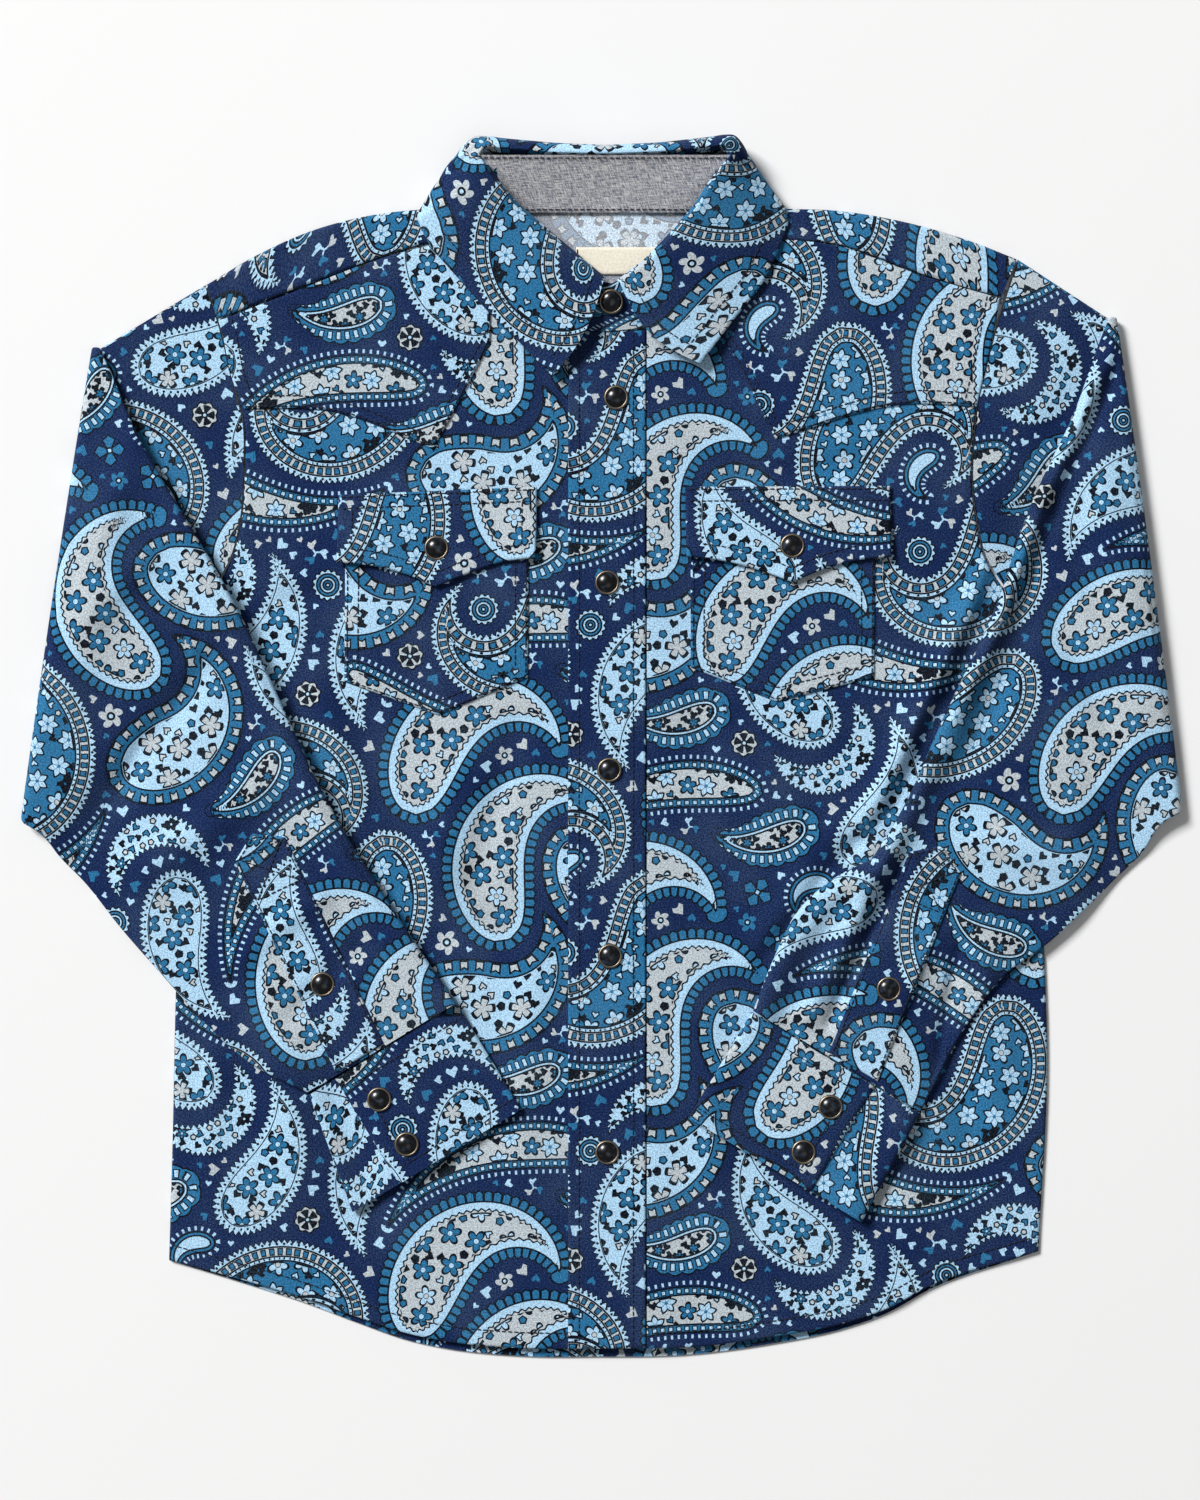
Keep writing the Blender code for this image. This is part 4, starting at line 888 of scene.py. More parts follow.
def front_top(x, y):
    """Outer face of the fronts: low at the side seams, highest in the middle."""
    plain = SIDE_TOP + CROWN * (1 - np.minimum(np.abs(x) / HALF_WIDTH, 1.0) ** 2)
    calm = smoothstep((HALF_WIDTH - np.abs(x)) / 30) * smoothstep((y + 268) / 25)
    uneven = 0.28 * ripple(x, y, 70, 1.3), 0.1 * ripple(x, y, 24, 4.0)
    return plain + calm * (folds_at(x, y, FRONT_FOLDS) + uneven[0] + uneven[1])


def left_front_top(x, y):
    """Outer face of the left front, which comes down from the placket."""
    return front_top(x, y) + LIFT * smoothstep((STEP_END - x) / STEP_WIDE)


FRONT_TOPS = {"right": front_top, "left": left_front_top}


def between(line, start, end, margin):
    """The part of a line of x and y between two x values."""
    xs, ys = zip(*line)
    inner = [point for point in line if start + margin < point[0] < end - margin]
    return [(start, np.interp(start, xs, ys)), *inner, (end, np.interp(end, xs, ys))]


def front_hem(start, end):
    hem = [(x, y + HEM_STEP * (1 - (x / HALF_WIDTH) ** 2)) for x, y in BACK_HEM]
    return between(hem, start, end, 3)


SEWN = {}  # upper faces of the pieces that are stitched along their edges


def add_front(side, bottom, top, left, right, seam, shift):
    """One front: it comes down to the surface at its side seam and turns under at its ends."""
    flat = patch(bottom, top, left, right)
    grid = with_height(flat, FRONT_TOPS[side](flat[..., 0], flat[..., 1]))
    grid[..., 2] -= np.maximum(
        turned_edge(flat, (seam,), 1.6) * (SIDE_TOP - LOWEST),
        turned_edge(flat, ("bottom", "top")) * 1.25,
    )
    grid[..., 2] = np.maximum(grid[..., 2], LOWEST)
    node = "front_" + side
    SEWN[node] = grid
    made = add_printed("printed_" + node, [(grid, cut_from(flat, 0, shift), False)], [node])
    area_of(flat)


right_seam, left_seam = ([row[2:] for row in line] for line in (RIGHT_SHOULDER, LEFT_SHOULDER))
add_front(
    "right",
    front_hem(RIGHT_SIDE[0][0], CENTRE_FRONT),
    right_seam[:-1] + between(NECK, NECK[0][0], CENTRE_FRONT, 2),
    [*RIGHT_SIDE, *below(RIGHT_ARMHOLE[1:], 190), right_seam[0]],
    [(CENTRE_FRONT, CENTRE_FOOT), (CENTRE_FRONT, 185.3)],
    "left", (-60, 22),
)
add_front(
    "left",
    front_hem(PLACKET_SEAM, LEFT_SIDE[0][0]),
    between(NECK, PLACKET_SEAM, NECK[-1][0], 2) + left_seam[1:],
    [(PLACKET_SEAM, CENTRE_FOOT), (PLACKET_SEAM, 187.8)],
    [*LEFT_SIDE, *below(LEFT_ARMHOLE[1:], 200), left_seam[-1]],
    "right", (78, 96),
)


# ----------------------------------------
# Yokes, cut from the same cotton: the back yoke runs over both shoulders to a seam in front and
# shows its wrong side in the neck; the pointed western yokes are lapped over the fronts and
# stitched down.
# ----------------------------------------

# Lower and upper edges: x, y
RIGHT_YOKE = (
    ((-160.5, 152), (-122, 151), (-75.5, 134), (-58.5, 166), (-50, 183.5)),
    ((-172.2, 191.8), (-140, 204), (-100, 219.4), (-59.6, 229.4)),
)
LEFT_YOKE = (
    ((54, 185.5), (62.5, 170), (78, 138.5), (136.5, 154), (168.5, 153)),
    ((63.6, 229.4), (103, 225.9), (143, 212.4), (179, 201.9)),
)
BACK_NECK = ((-30, 241.3), (2, 241.3), (34, 241.3))
YOKE_SHIFT = (148, -48)  # in the uncut cloth


def shoulder_line(shoulder):
    """Columns across one shoulder: from the fold line, over it and down to the seam in front."""
    wide = np.hypot(*np.subtract(shoulder[0][:2], shoulder[-1][:2]))
    shares = shares_of(wide, 2.0, (False, False))
    fold = curve([row[:2] for row in shoulder], shares)
    front = curve([row[2:] for row in shoulder], shares)
    radius = (front_top(fold[:, 0], fold[:, 1]) + LIFT) / 2
    inward = (front - fold) / np.linalg.norm(front - fold, axis=1, keepdims=True)
    middle = fold + inward * radius[:, None]
    rows = []
    for angle in np.radians(np.arange(0, 181, 15)):
        spots = middle - inward * (radius * math.sin(angle))[:, None]
        rows.append(with_height(spots, radius * (1 - math.cos(angle))))
    for share in np.linspace(0, 1, 11)[1:]:
        spots = middle + (front - middle) * share
        rows.append(with_height(spots, front_top(spots[:, 0], spots[:, 1]) + LIFT))
    for down in (0.5, 0.7):
        rows.append(rows[-1] - (0, 0, down))
    return np.array(rows)


def facing(grid, cloth, up, wrong=False, rows=slice(None)):
    """A part for add_printed, with its columns in the order that turns its face up or down."""
    sample = grid[rows]
    normal = np.cross(np.diff(sample[:-1], axis=1), np.diff(sample[:, :-1], axis=0))
    if (normal[..., 2].mean() > 0) != up:
        grid, cloth = grid[:, ::-1], cloth[:, ::-1]
    return grid, cloth, wrong


def walked(grid, axis):
    """Length walked along the rows or the columns of a grid."""
    step = np.linalg.norm(np.diff(grid, axis=axis), axis=2)
    start = np.zeros_like(np.take(step, [0], axis))
    return np.concatenate((start, np.cumsum(step, axis)), axis)


yoke_parts = []
yoke_edges = (
    BACK_SEAM,
    [row[:2] for row in RIGHT_SHOULDER] + list(BACK_NECK) + [row[:2] for row in LEFT_SHOULDER],
    [BACK_SEAM[0], *[p for p in RIGHT_ARMHOLE if 155 < p[1] < 200], RIGHT_SHOULDER[0][:2]],
    [BACK_SEAM[-1], *[p for p in LEFT_ARMHOLE if 155 < p[1] < 210], LEFT_SHOULDER[-1][:2]],
)
for pitch, height, inside in ((BACK_PITCH, 0.0, False), (PITCH, CLOTH, True)):
    flat = patch(*yoke_edges, pitch, (False,) * 4)
    cloth = cut_from(flat, 0, YOKE_SHIFT)
    yoke_parts.append(facing(with_height(flat, height), cloth, inside, inside))
for shoulder in (RIGHT_SHOULDER, LEFT_SHOULDER):
    grid = shoulder_line(shoulder)
    across, along = grid[..., 0] + YOKE_SHIFT[0], grid[0, :, 1] + YOKE_SHIFT[1] + walked(grid, 0)
    yoke_parts.append(facing(grid, np.stack((across, along), -1), True, rows=slice(14, 22)))
back_yoke = add_printed("printed_back_yoke", yoke_parts, ["back_yoke"])


def pucker(flat):
    """Small gathers beside the stitching of a piece's edges."""
    lines = (flat[:, :1], flat[:, -1:], flat[:1], flat[-1:])
    away = np.min([np.linalg.norm(flat - line, axis=2) for line in lines], axis=0)
    return 0.2 * ripple(flat[..., 0], flat[..., 1], 10, 0.7) * np.exp(-(((away - 3.0) / 3.5) ** 2))


def add_overlay(name, node, outline, height, layer, cut, under, edges=((), ())):
    """A piece that lies on a panel: the panel's own height, moved out, its edges turned down."""
    bottom, top = outline
    flat = patch(bottom, top, [bottom[0], *edges[0], top[0]], [bottom[-1], *edges[1], top[-1]], 1.5)
    z = height(flat[..., 0], flat[..., 1]) + layer * LIFT + pucker(flat)
    grid = with_height(flat, z - turned_edge(flat, ALL_ROUND) * (LIFT - LOWEST))
    SEWN[node] = with_height(flat, z)
    made = add_printed(name, [facing(grid, cut_from(flat, *cut), True)], [node])
    area_of(flat)
    return made


for side, outline, shift, edges in (
    ("right", RIGHT_YOKE, (20, 150), ([p for p in RIGHT_ARMHOLE if 155 < p[1] < 191], [NECK[1]])),
    ("left", LEFT_YOKE, (150, 30), ([NECK[-2]], [p for p in LEFT_ARMHOLE if 155 < p[1] < 200])),
):
    add_overlay(
        "printed_yoke_" + side, "front_yoke_" + side, outline, front_top, 1, (0, shift),
        "front_" + side, edges,
    )


# ----------------------------------------
# Pockets, their pointed flaps and the placket strip: the same cotton in a second layer, edges
# turned under and stitched round. A flap lies on its pocket and closes with one snap.
# ----------------------------------------

# Lower and upper edges: x, y
RIGHT_POCKET = (((-115.5, 29.5), (-73.5, 14.5), (-33, 31.5)), ((-115, 108), (-32.5, 111)))
LEFT_POCKET = (((40, 36), (78.5, 20.5), (122.5, 31.5)), ((40, 111), (123, 111)))
RIGHT_FLAP = (
    ((-119, 83), (-100.5, 81), (-86, 77), (-74.5, 72), (-59.5, 78), (-45, 83), (-29.5, 85)),
    ((-118, 113.5), (-29, 117)),
)
LEFT_FLAP = (
    ((38, 85.5), (55, 83.5), (72, 79), (85.5, 74), (98.5, 79.5), (115, 84), (130, 85.5)),
    ((37.5, 117), (129.5, 117.5)),
)
FLAP_SNAPS = {"right": (-74, 89.5), "left": (85.5, 90.5)}
PLACKET_EDGE, PLACKET_INNER, PLACKET_TOP = -15.0, 20.0, 187.2


def flap_top(height, snap):
    """A flap stands off its pocket towards its free edges, except where the snap holds it."""

    def top(x, y):
        held = np.exp(-((np.hypot(x - snap[0], y - snap[1]) / 11) ** 2))
        free = smoothstep((112 - y) / 34) * (1 - 0.85 * held)
        return height(x, y) + free * (1.7 + 0.5 * np.sin(x * 0.16))

    return top


for piece, side, outline, under, shift, flat_size in (
    ("pocket", "right", RIGHT_POCKET, "front", (66, 122), (0.083, 0.095)),
    ("pocket", "left", LEFT_POCKET, "front", (10, 200), (0.083, 0.092)),
    ("flap", "right", RIGHT_FLAP, "pocket", (140, 88), (0.09, 0.044)),
    ("flap", "left", LEFT_FLAP, "pocket", (95, 30), (0.092, 0.043)),
):
    node, height, layer = piece + "_" + side, FRONT_TOPS[side], 1
    if piece == "flap":
        height, layer = flap_top(height, FLAP_SNAPS[side]), 2
    add_overlay(
        "printed_" + node, node, outline, height, layer, (0, shift), under + "_" + side
    )
placket_strip = (
    front_hem(PLACKET_EDGE, PLACKET_INNER),
    ((PLACKET_EDGE, PLACKET_TOP), (PLACKET_INNER, PLACKET_TOP)),
)
add_overlay(
    "printed_placket", "placket", placket_strip, front_top, 1, (0, (30, 40)),
    "front_right",
)


# ----------------------------------------
# Sleeves: each a flattened tube of the cotton that runs out from its armhole, doubles back at a
# fold and lies over the front, with creases pressed where it bends.
# ----------------------------------------

SLEEVE_HALF = 1.95  # half the thickness of a sleeve along its middle
SLEEVE_EDGE = 1.25  # and at its folded edges
FOLD_RADIUS = SLEEVE_HALF + 0.3  # of the sleeve's middle where it doubles back
REST = 0.5  # under a sleeve or a cuff, above the fronts
WALL = 84  # points across each wall of a sleeve
ROOT_ROWS, FOREARM_ROWS = 45, 161
CAPS = (-72, -48, -24, 0, 24, 48, 72)  # degrees round each folded edge
# Fold of the sleeves where they double back: x, y of its upper and of its lower end
RIGHT_FOLD_LINE = (-229.5, 180, -261, -29)
LEFT_FOLD_LINE = (232, 193.5, 261, -24.5)
# Sleeve that lies on top: x, y of its inner edge and of its outer edge, from the fold to the cuff
RIGHT_FOREARM = (
    ("fold", -229.5, 180, -261.8, -34.3), ("upper arm", -207, 138, -256.6, -37.3),
    ("armhole", -187.5, 105, -251.5, -41.3), ("above elbow", -167, 70, -245, -48),
    ("elbow", -143, 19, -233, -60), ("below elbow", -125, -19.5, -217, -80),
    ("placket top", -112.5, -42, -201, -98), ("forearm", -98, -65, -183, -118),
    ("above cuff", -82, -89.5, -160, -140), ("cuff seam", -65.1, -114.3, -131.8, -154.8),
)
LEFT_FOREARM = (
    ("fold", 232, 193.5, 261.7, -29.8), ("upper arm", 213.5, 153, 256.5, -32.6),
    ("armhole", 193.5, 112, 251.3, -37), ("above elbow", 175, 60, 243, -47.5),
    ("elbow", 151.5, 10, 231, -59), ("below elbow", 135, -27, 217.5, -72.5),
    ("placket top", 121, -50, 199, -89), ("pushed-up fold", 104, -58.5, 180, -103),
    ("forearm", 88, -73, 163, -126), ("above cuff", 77, -94.5, 151, -148.5),
    ("cuff seam", 67.8, -117.8, 143.2, -163.2),
)
# Folds on top of the sleeves: x, y of both ends, half width, height
RIGHT_FOLDS = (
    (-215, 130, -240, 20, 11, 2.4), (-150, -15, -205, -60, 10, 2.2), (-192, 96, -150, 18, 6, 2.4),
    (-180, 92, -145, 30, 4, -1.3), (-202, 92, -160, 14, 4, -1.0), (-196, 96, -226, 60, 7, 1.6),
    (-118, -60, -170, -100, 6, 1.6), (-100, -80, -140, -122, 5, -1.2),
    (-172, 40, -228, -30, 7, -1.6), (-134, -18, -96, -84, 6, 2.2), (-146, -22, -104, -92, 4, -1.2),
    (-206, 150, -216, 110, 7, 1.6), (-190, -40, -224, -64, 7, 1.4),
)
LEFT_FOLDS = (
    (222, 140, 244, 20, 11, 2.4), (128, -42, 112, -72, 8, 2.6), (172, -40, 215, -55, 10, 2.2),
    (126, -50, 92, -120, 5, 3.2), (135, -50, 102, -124, 3.2, -2.9), (168, -92, 182, -120, 5, 2.8),
    (160, -92, 150, -150, 3.4, -2.6), (176, -106, 188, -128, 3.4, -2.2), (196, 92, 226, 40, 7, 1.8),
    (204, 60, 236, -10, 6, -1.5), (186, 66, 150, -12, 5, 1.6), (194, 60, 160, -16, 5, -1.6),
    (206, 146, 226, 110, 7, 1.6), (150, -84, 130, -120, 5, 1.6), (230, 181, 197, 110, 4.5, 4.6),
    (197, 110, 178, 58, 4.5, 4.2), (178, 58, 157, 14, 4.5, 3.0), (235, 179, 202, 108, 4.8, -3.6),
    (202, 108, 184, 57, 4.8, -3.6), (184, 57, 165, 16, 4.5, -2.4),
)
# Where the lower layer of a sleeve sinks beside the edge of the layer that lies on it
RIGHT_ROOT_FOLDS = ((-222, 165, -187.5, 105, 13, -1.4), (-187.5, 105, -172, 78, 12, -1.0))
LEFT_ROOT_FOLDS = ((226, 180, 193, 112, 12, -2.1), (193, 112, 178, 72, 12, -1.8))


class Sleeve:
    """The form of one sleeve. Its side is -1 for the right one and 1 for the left one."""

    def __init__(self, side, armhole, fold_line, forearm, folds, root_folds):
        self.side, self.folds, self.root_folds = side, folds, root_folds
        self.armhole = np.array(armhole[::-1], float) + (side * 0.5, 0)
        shares = np.linspace(0, 1, FOREARM_ROWS)
        self.inner = curve([row[1:3] for row in forearm], shares)
        self.outer = curve([row[3:5] for row in forearm], shares)
        self.upper, self.lower = np.array(fold_line[:2]), np.array(fold_line[2:])
        line = (self.lower - self.upper) / np.linalg.norm(self.lower - self.upper)
        self.out = np.array((-line[1], line[0])) * side
        self.inset = self.out * -(FOLD_RADIUS + SLEEVE_HALF)
        self.root = (np.array(armhole[0], float), self.lower)

    def support(self, x, y):
        """What the doubled-back sleeve lies on: its own root, the front or the surface."""
        start, end = self.root
        line = (end - start) / np.linalg.norm(end - start)
        aside = np.abs(line[0] * (y - start[1]) - line[1] * (x - start[0]))
        under = y < start[1] + (x - start[0]) / (end[0] - start[0]) * (end[1] - start[1])
        on_root = 1 - smoothstep((np.where(under, aside, -aside) - 8) / 27)
        beyond = self.side * x - (HALF_WIDTH + (3 if self.side > 0 else -4))
        on_body = 1 - smoothstep((beyond - 10) / 25)
        top = FRONT_TOPS["left" if self.side > 0 else "right"](x, y)
        return np.maximum(2 * FOLD_RADIUS * on_root, (top + REST) * on_body)

    def ring(self, spots, supports, up, fullness=1.0, folds=None, puff=0.0):
        """Points round a section: the lower wall, a folded edge, the upper wall, the other edge."""
        shares = np.linspace(0, 1, WALL)
        arch = np.sin(math.pi * shares)
        edges = (SLEEVE_EDGE + puff, SLEEVE_EDGE)
        radius = edges[0] + (edges[1] - edges[0]) * smoothstep(shares * 5)
        halves = radius + (SLEEVE_HALF - SLEEVE_EDGE) * fullness * arch**0.7
        across = np.append((spots[-1] - spots[0]) / np.linalg.norm(spots[-1] - spots[0]), 0)
        normal = np.array((*(self.out * up[0]), up[1]))
        lifted = supports + halves + puff * 1.5 * (1 - smoothstep(shares * 7))
        inner = with_height(spots, lifted) + across * (
            edges[0] * (1 - shares[:, None]) - edges[1] * shares[:, None]
        )
        walls = []
        for sign in (1, -1):
            wall = inner + normal * sign * halves[:, None]
            if folds is not None and sign < 0:
                wall[:, 2] += folds_at(wall[:, 0], wall[:, 1], folds) * arch**0.35
                wall[:, 2] += 0.22 * ripple(wall[:, 0], wall[:, 1], 34, self.side) * arch
            walls.append(wall if sign > 0 else wall[::-1])
            end = inner[-1] if sign > 0 else inner[0]
            angles = np.radians(CAPS)[:, None]
            cap = normal * sign * -np.sin(angles) + across * sign * np.cos(angles)
            walls.append(end + cap * edges[0 if sign < 0 else 1])
        return np.concatenate(walls)

    def grid(self):
        shares = np.linspace(0, 1, WALL)
        start = curve(self.armhole, shares)
        root_end = self.upper + np.outer(shares, self.lower - self.upper) + self.inset
        top_end = self.inner[0] + np.outer(shares, self.outer[0] - self.inner[0]) + self.inset
        made = []
        for part in np.linspace(0, 1, ROOT_ROWS):
            spots = start + (root_end - start) * part
            ring = self.ring(spots, np.zeros(WALL), (0, 1), 0.3 + 0.7 * part)
            high = ring[:, 2] > 1.2
            x, y = ring[high, 0], ring[high, 1]
            give = 0.15 * ripple(x, y, 40, 2.0) + folds_at(x, y, self.root_folds)
            ring[high, 2] += give * math.sin(math.pi * part) ** 0.5
            made.append(ring)
        for angle in np.radians(np.arange(15, 170, 15)):
            turn = (1 - math.cos(angle)) / 2
            spots = root_end + (top_end - root_end) * turn
            spots = spots + self.out * FOLD_RADIUS * math.sin(angle)
            level = np.full(WALL, 2 * FOLD_RADIUS * turn)
            made.append(self.ring(spots, level, (-math.sin(angle), math.cos(angle))))
        for place, near, far in zip(np.linspace(0, 1, FOREARM_ROWS), self.inner, self.outer):
            pull = self.inset * (1 - smoothstep(place * 6))
            spots = near + np.outer(shares, far - near) + pull
            puff = 1.5 * smoothstep(place * 4)
            made.append(self.ring(spots, self.support(*spots.T), (0, -1), 1.0, self.folds, puff))
        return np.array(made)

    def cloth(self, grid, turn, shift):
        """Where the points lie in the uncut cloth: the wall that shows is laid down flat, and what
        goes round its edges and back over its fold is rolled out beside it."""
        flat = cut_from(grid[..., :2], turn, shift)
        around, along = walked(grid, 1), walked(grid, 0)
        cloth = flat.copy()
        outer = WALL + len(CAPS)
        inner = outer + WALL - 1
        for edge, beside, columns in (
            (outer, outer + 1, slice(0, outer)), (inner, inner - 1, slice(inner, None)),
        ):
            away = flat[:, edge] - flat[:, beside]
            away = away / np.linalg.norm(away, axis=1, keepdims=True)
            gone = np.abs(around[:, columns] - around[:, edge : edge + 1])
            cloth[:, columns] = flat[:, edge : edge + 1] + away[:, None] * gone[..., None]
        top = len(grid) - FOREARM_ROWS
        cloth[:top] = cloth[top] + (along[top] - along[:top])[..., None] * cut_from(self.out, turn)
        under = slice(ROOT_ROWS), slice(WALL)
        cloth[under] = cut_from(grid[under][..., :2], -turn, shift)
        return cloth


right_form = RIGHT_ARMHOLE, RIGHT_FOLD_LINE, RIGHT_FOREARM, RIGHT_FOLDS, RIGHT_ROOT_FOLDS
left_form = LEFT_ARMHOLE, LEFT_FOLD_LINE, LEFT_FOREARM, LEFT_FOLDS, LEFT_ROOT_FOLDS
SLEEVES = {}
for side, sleeve, shift in (
    ("right", Sleeve(-1, *right_form), (40, 30)), ("left", Sleeve(1, *left_form), (130, 75)),
):
    grid = sleeve.grid()
    cloth = sleeve.cloth(grid, -36 * sleeve.side, shift)
    if side == "right":
        grid, cloth = grid[:, ::-1], cloth[:, ::-1]
    node = "sleeve_" + side
    made = add_printed("printed_" + node, [(grid, cloth, False)], [node], wrap=True)
    "front_" + side
    SLEEVES[side] = made


# ----------------------------------------
# Cuffs and sleeve plackets, cut from the same cotton: the cuff is an open strip at the end of the
# sleeve that laps over itself and closes with two snaps; the placket above it is a strip with a
# pointed top, stitched on round its edges and across in a box, and closed with one snap.
# ----------------------------------------

CUFF_HEIGHT = 55.0
CUFF_FACE = 64.0  # from the inner fold to the lapped end
CUFF_LAP = 22.0
CUFF_INNER = 3.2  # outer face of the lower layer above the cuff's underside
CUFF_COLUMNS = 150
CUFF_SHOWN = slice(3, 64)  # those on its face, which is stitched
# Sign of its side, x and y of the inner corner at the seam, direction across, width at the seam
# and at the hem, how much its outer fold puffs up, and its place in the uncut cloth
CUFFS = {
    "right": (-1, (-64.6, -115), (-0.853, -0.522), (78, 89), 0.0, (10, 130)),
    "left": (1, (67.3, -118.6), (0.856, -0.517), (88, 91), 2.4, (70, 215)),
}


def arc(centre, radius, angles, sign):
    """Points of a rounded fold: place across and height."""
    spokes = [(sign * radius * math.sin(a), sign * radius * math.cos(a)) for a in angles]
    return [(centre + across, radius - up) for across, up in spokes]


def cuff_path(width, puff):
    """Outer face of a cuff: place across and height, from the lapped end round to the end below."""
    top, low = CUFF_INNER + LIFT, CUFF_INNER
    path = [(CUFF_FACE + 0.3, top - 1.2), (CUFF_FACE, top - 0.3), (CUFF_FACE - 0.9, top)]
    path += [(52, top), (CUFF_FACE - CUFF_LAP, top), (28, top - 0.6), (14, low)]
    radius = low / 2
    path += arc(radius, radius, np.linspace(0, 2.6, 8), -1)
    path += [(radius + (width - 2 * radius) * step / 5, 0.0) for step in range(5)]
    radius = (low + puff) / 2
    centre = width - radius
    path += arc(centre, radius, np.linspace(0, 2.8, 8), 1)
    for place in (centre, 70, CUFF_FACE, 52, CUFF_FACE - CUFF_LAP + 1):
        path.append((place, low + puff * smoothstep((place - CUFF_FACE - 2) / 14)))
    return path


def cuff_point(side, across, along, height):
    """Points of a cuff in the shirt's frame."""
    sign, corner, run = CUFFS[side][:3]
    down = np.array((run[1], -run[0])) * sign
    run = np.array(run)
    across, along = np.asarray(across)[..., None], np.asarray(along)[..., None]
    spot = np.array(corner) + run * across + down * along
    return with_height(spot, FRONT_TOPS[side](spot[..., 0], spot[..., 1]) + REST + height)


for side, (sign, _, _, widths, puff, shift) in CUFFS.items():
    rows = []
    for share in shares_of(CUFF_HEIGHT, 1.5):
        path = cuff_path(widths[0] + (widths[1] - widths[0]) * share, puff)
        path = curve(path, np.linspace(0, 1, CUFF_COLUMNS), 60)
        rows.append(cuff_point(side, path[:, 0], CUFF_HEIGHT * share, path[:, 1]))
    grid = np.array(rows)
    grid[..., 2] += 0.12 * ripple(grid[..., 0], grid[..., 1], 22, sign)
    cloth = np.stack((walked(grid, 1), -walked(grid, 0)), -1) + shift
    SEWN["cuff_" + side] = grid[:, CUFF_SHOWN]
    if side == "right":
        grid, cloth = grid[:, ::-1], cloth[:, ::-1]
    made = add_printed("printed_cuff_" + side, [(grid, cloth, False)], ["cuff_" + side])
    "front_" + side


def seat_on(made):
    """A function that gives the height of a piece's upper face at many points."""
    mesh = made.data
    points = [point.co for point in mesh.vertices]
    tree = BVHTree.FromPolygons(points, [face.vertices for face in mesh.polygons])

    def height(x, y):
        spots = np.stack(np.broadcast_arrays(x, y), -1).reshape(-1, 2) * MM
        tops = []
        for spot in spots:
            hit = tree.ray_cast(Vector((*spot, 1.0)), Vector((0, 0, -1)))[0]
            tops.append(hit.z / MM if hit else tops[-1] if tops else 0.0)
        return np.array(tops).reshape(np.shape(x))

    return height


STRAP_WIDTH = 25.0
STRAP_POINT = 8.0  # the tip stands out by this much
STRAP_INSET = 0.84  # of the stitched box inside a strap
BOX = 20.0  # length of that box, at the top of a strap
CROSSES = []  # its lines of sewing: x, y, height
# Corners of the foot, tip, snap: x, y, then degrees and place in the uncut cloth
STRAPS = {
    "right": (((-119, -145.7), (-97.5, -132.6)), (-156.5, -38.5), (-125, -106), (-30, (30, 30))),
    "left": (((101.9, -136.6), (123.7, -149.6)), (152.5, -44), (128.5, -108), (30, (100, 150))),
}
STRAP_SEATS = {}

for side, (foot, tip, snap, cut) in STRAPS.items():
    foot, tip, top = np.array(foot), np.array(tip), seat_on(SLEEVES[side])
    run = tip - foot.mean(axis=0)
    run = run / np.linalg.norm(run)
    across = np.array((run[1], -run[0])) * STRAP_WIDTH / 2
    high = tip - run * STRAP_POINT
    low, inner = high - run * BOX, across * STRAP_INSET
    for start, end in (
        (low - inner, low + inner), (high - inner, high + inner),
        (low - inner, high + inner), (low + inner, high - inner),
    ):
        line = start + np.linspace(0, 1, 40)[:, None] * (end - start)
        CROSSES.append(with_height(line, top(line[:, 0], line[:, 1]) + LIFT + 0.1))
    outline = foot, [high - across, tip, high + across]
    made = add_overlay(
        "printed_strap_" + side, "sleeve_placket_" + side, outline, top, 1, cut,
        "sleeve_" + side,
    )
    STRAP_SEATS[side] = seat_on(made)


# ----------------------------------------
# Collar: two pieces of the same cotton, a stand sewn into the neck and faced inside with chambray,
# and a fall with two pointed leaves that turns over the stand and hangs behind the neck.
# ----------------------------------------

# Collar stand: x, y, z of its lower edge and of its upper edge, from the lower front end
STAND = (
    ("lower end", 16, 187.5, 4.8, 15, 206.5, 7.0), ("centre", -1, 186, 4.8, -2, 209, 8.0),
    ("right front", -18, 190.5, 4.8, -14, 220, 9.5), ("right bend", -36, 203, 5.0, -27, 231, 11.5),
    ("right side", -48.8, 217.5, 5.0, -40, 242, 13.5),
    ("right neck", -54, 231, 6.6, -49, 250.5, 16),
    ("right corner", -52.3, 239.2, 4.4, -49, 257.8, 15.4),
    ("back corner", -45, 243.2, 2.2, -43.5, 261.6, 16.4),
    ("back right", -24, 243, 0.7, -22, 262, 17.2), ("back", 2, 243, 0.6, 2, 261.7, 17.2),
    ("back left", 28, 243, 0.7, 26, 262.5, 17.2),
    ("back corner", 48.5, 243.2, 2.2, 47, 262.2, 16.4),
    ("left corner", 55.8, 239.2, 4.4, 52, 258.3, 15.4),
    ("left neck", 57.5, 231, 6.6, 52, 250.5, 16), ("left side", 49.6, 214, 5.2, 43.5, 241, 13.5),
    ("left bend", 34, 198, 5.6, 32, 229.5, 11.5), ("left front", 16, 188, 6.2, 19, 217.5, 10.3),
    ("upper centre", 2, 186.5, 6.3, 6, 208, 9.6), ("upper end", -11, 187.5, 6.3, -9, 204, 8.6),
)
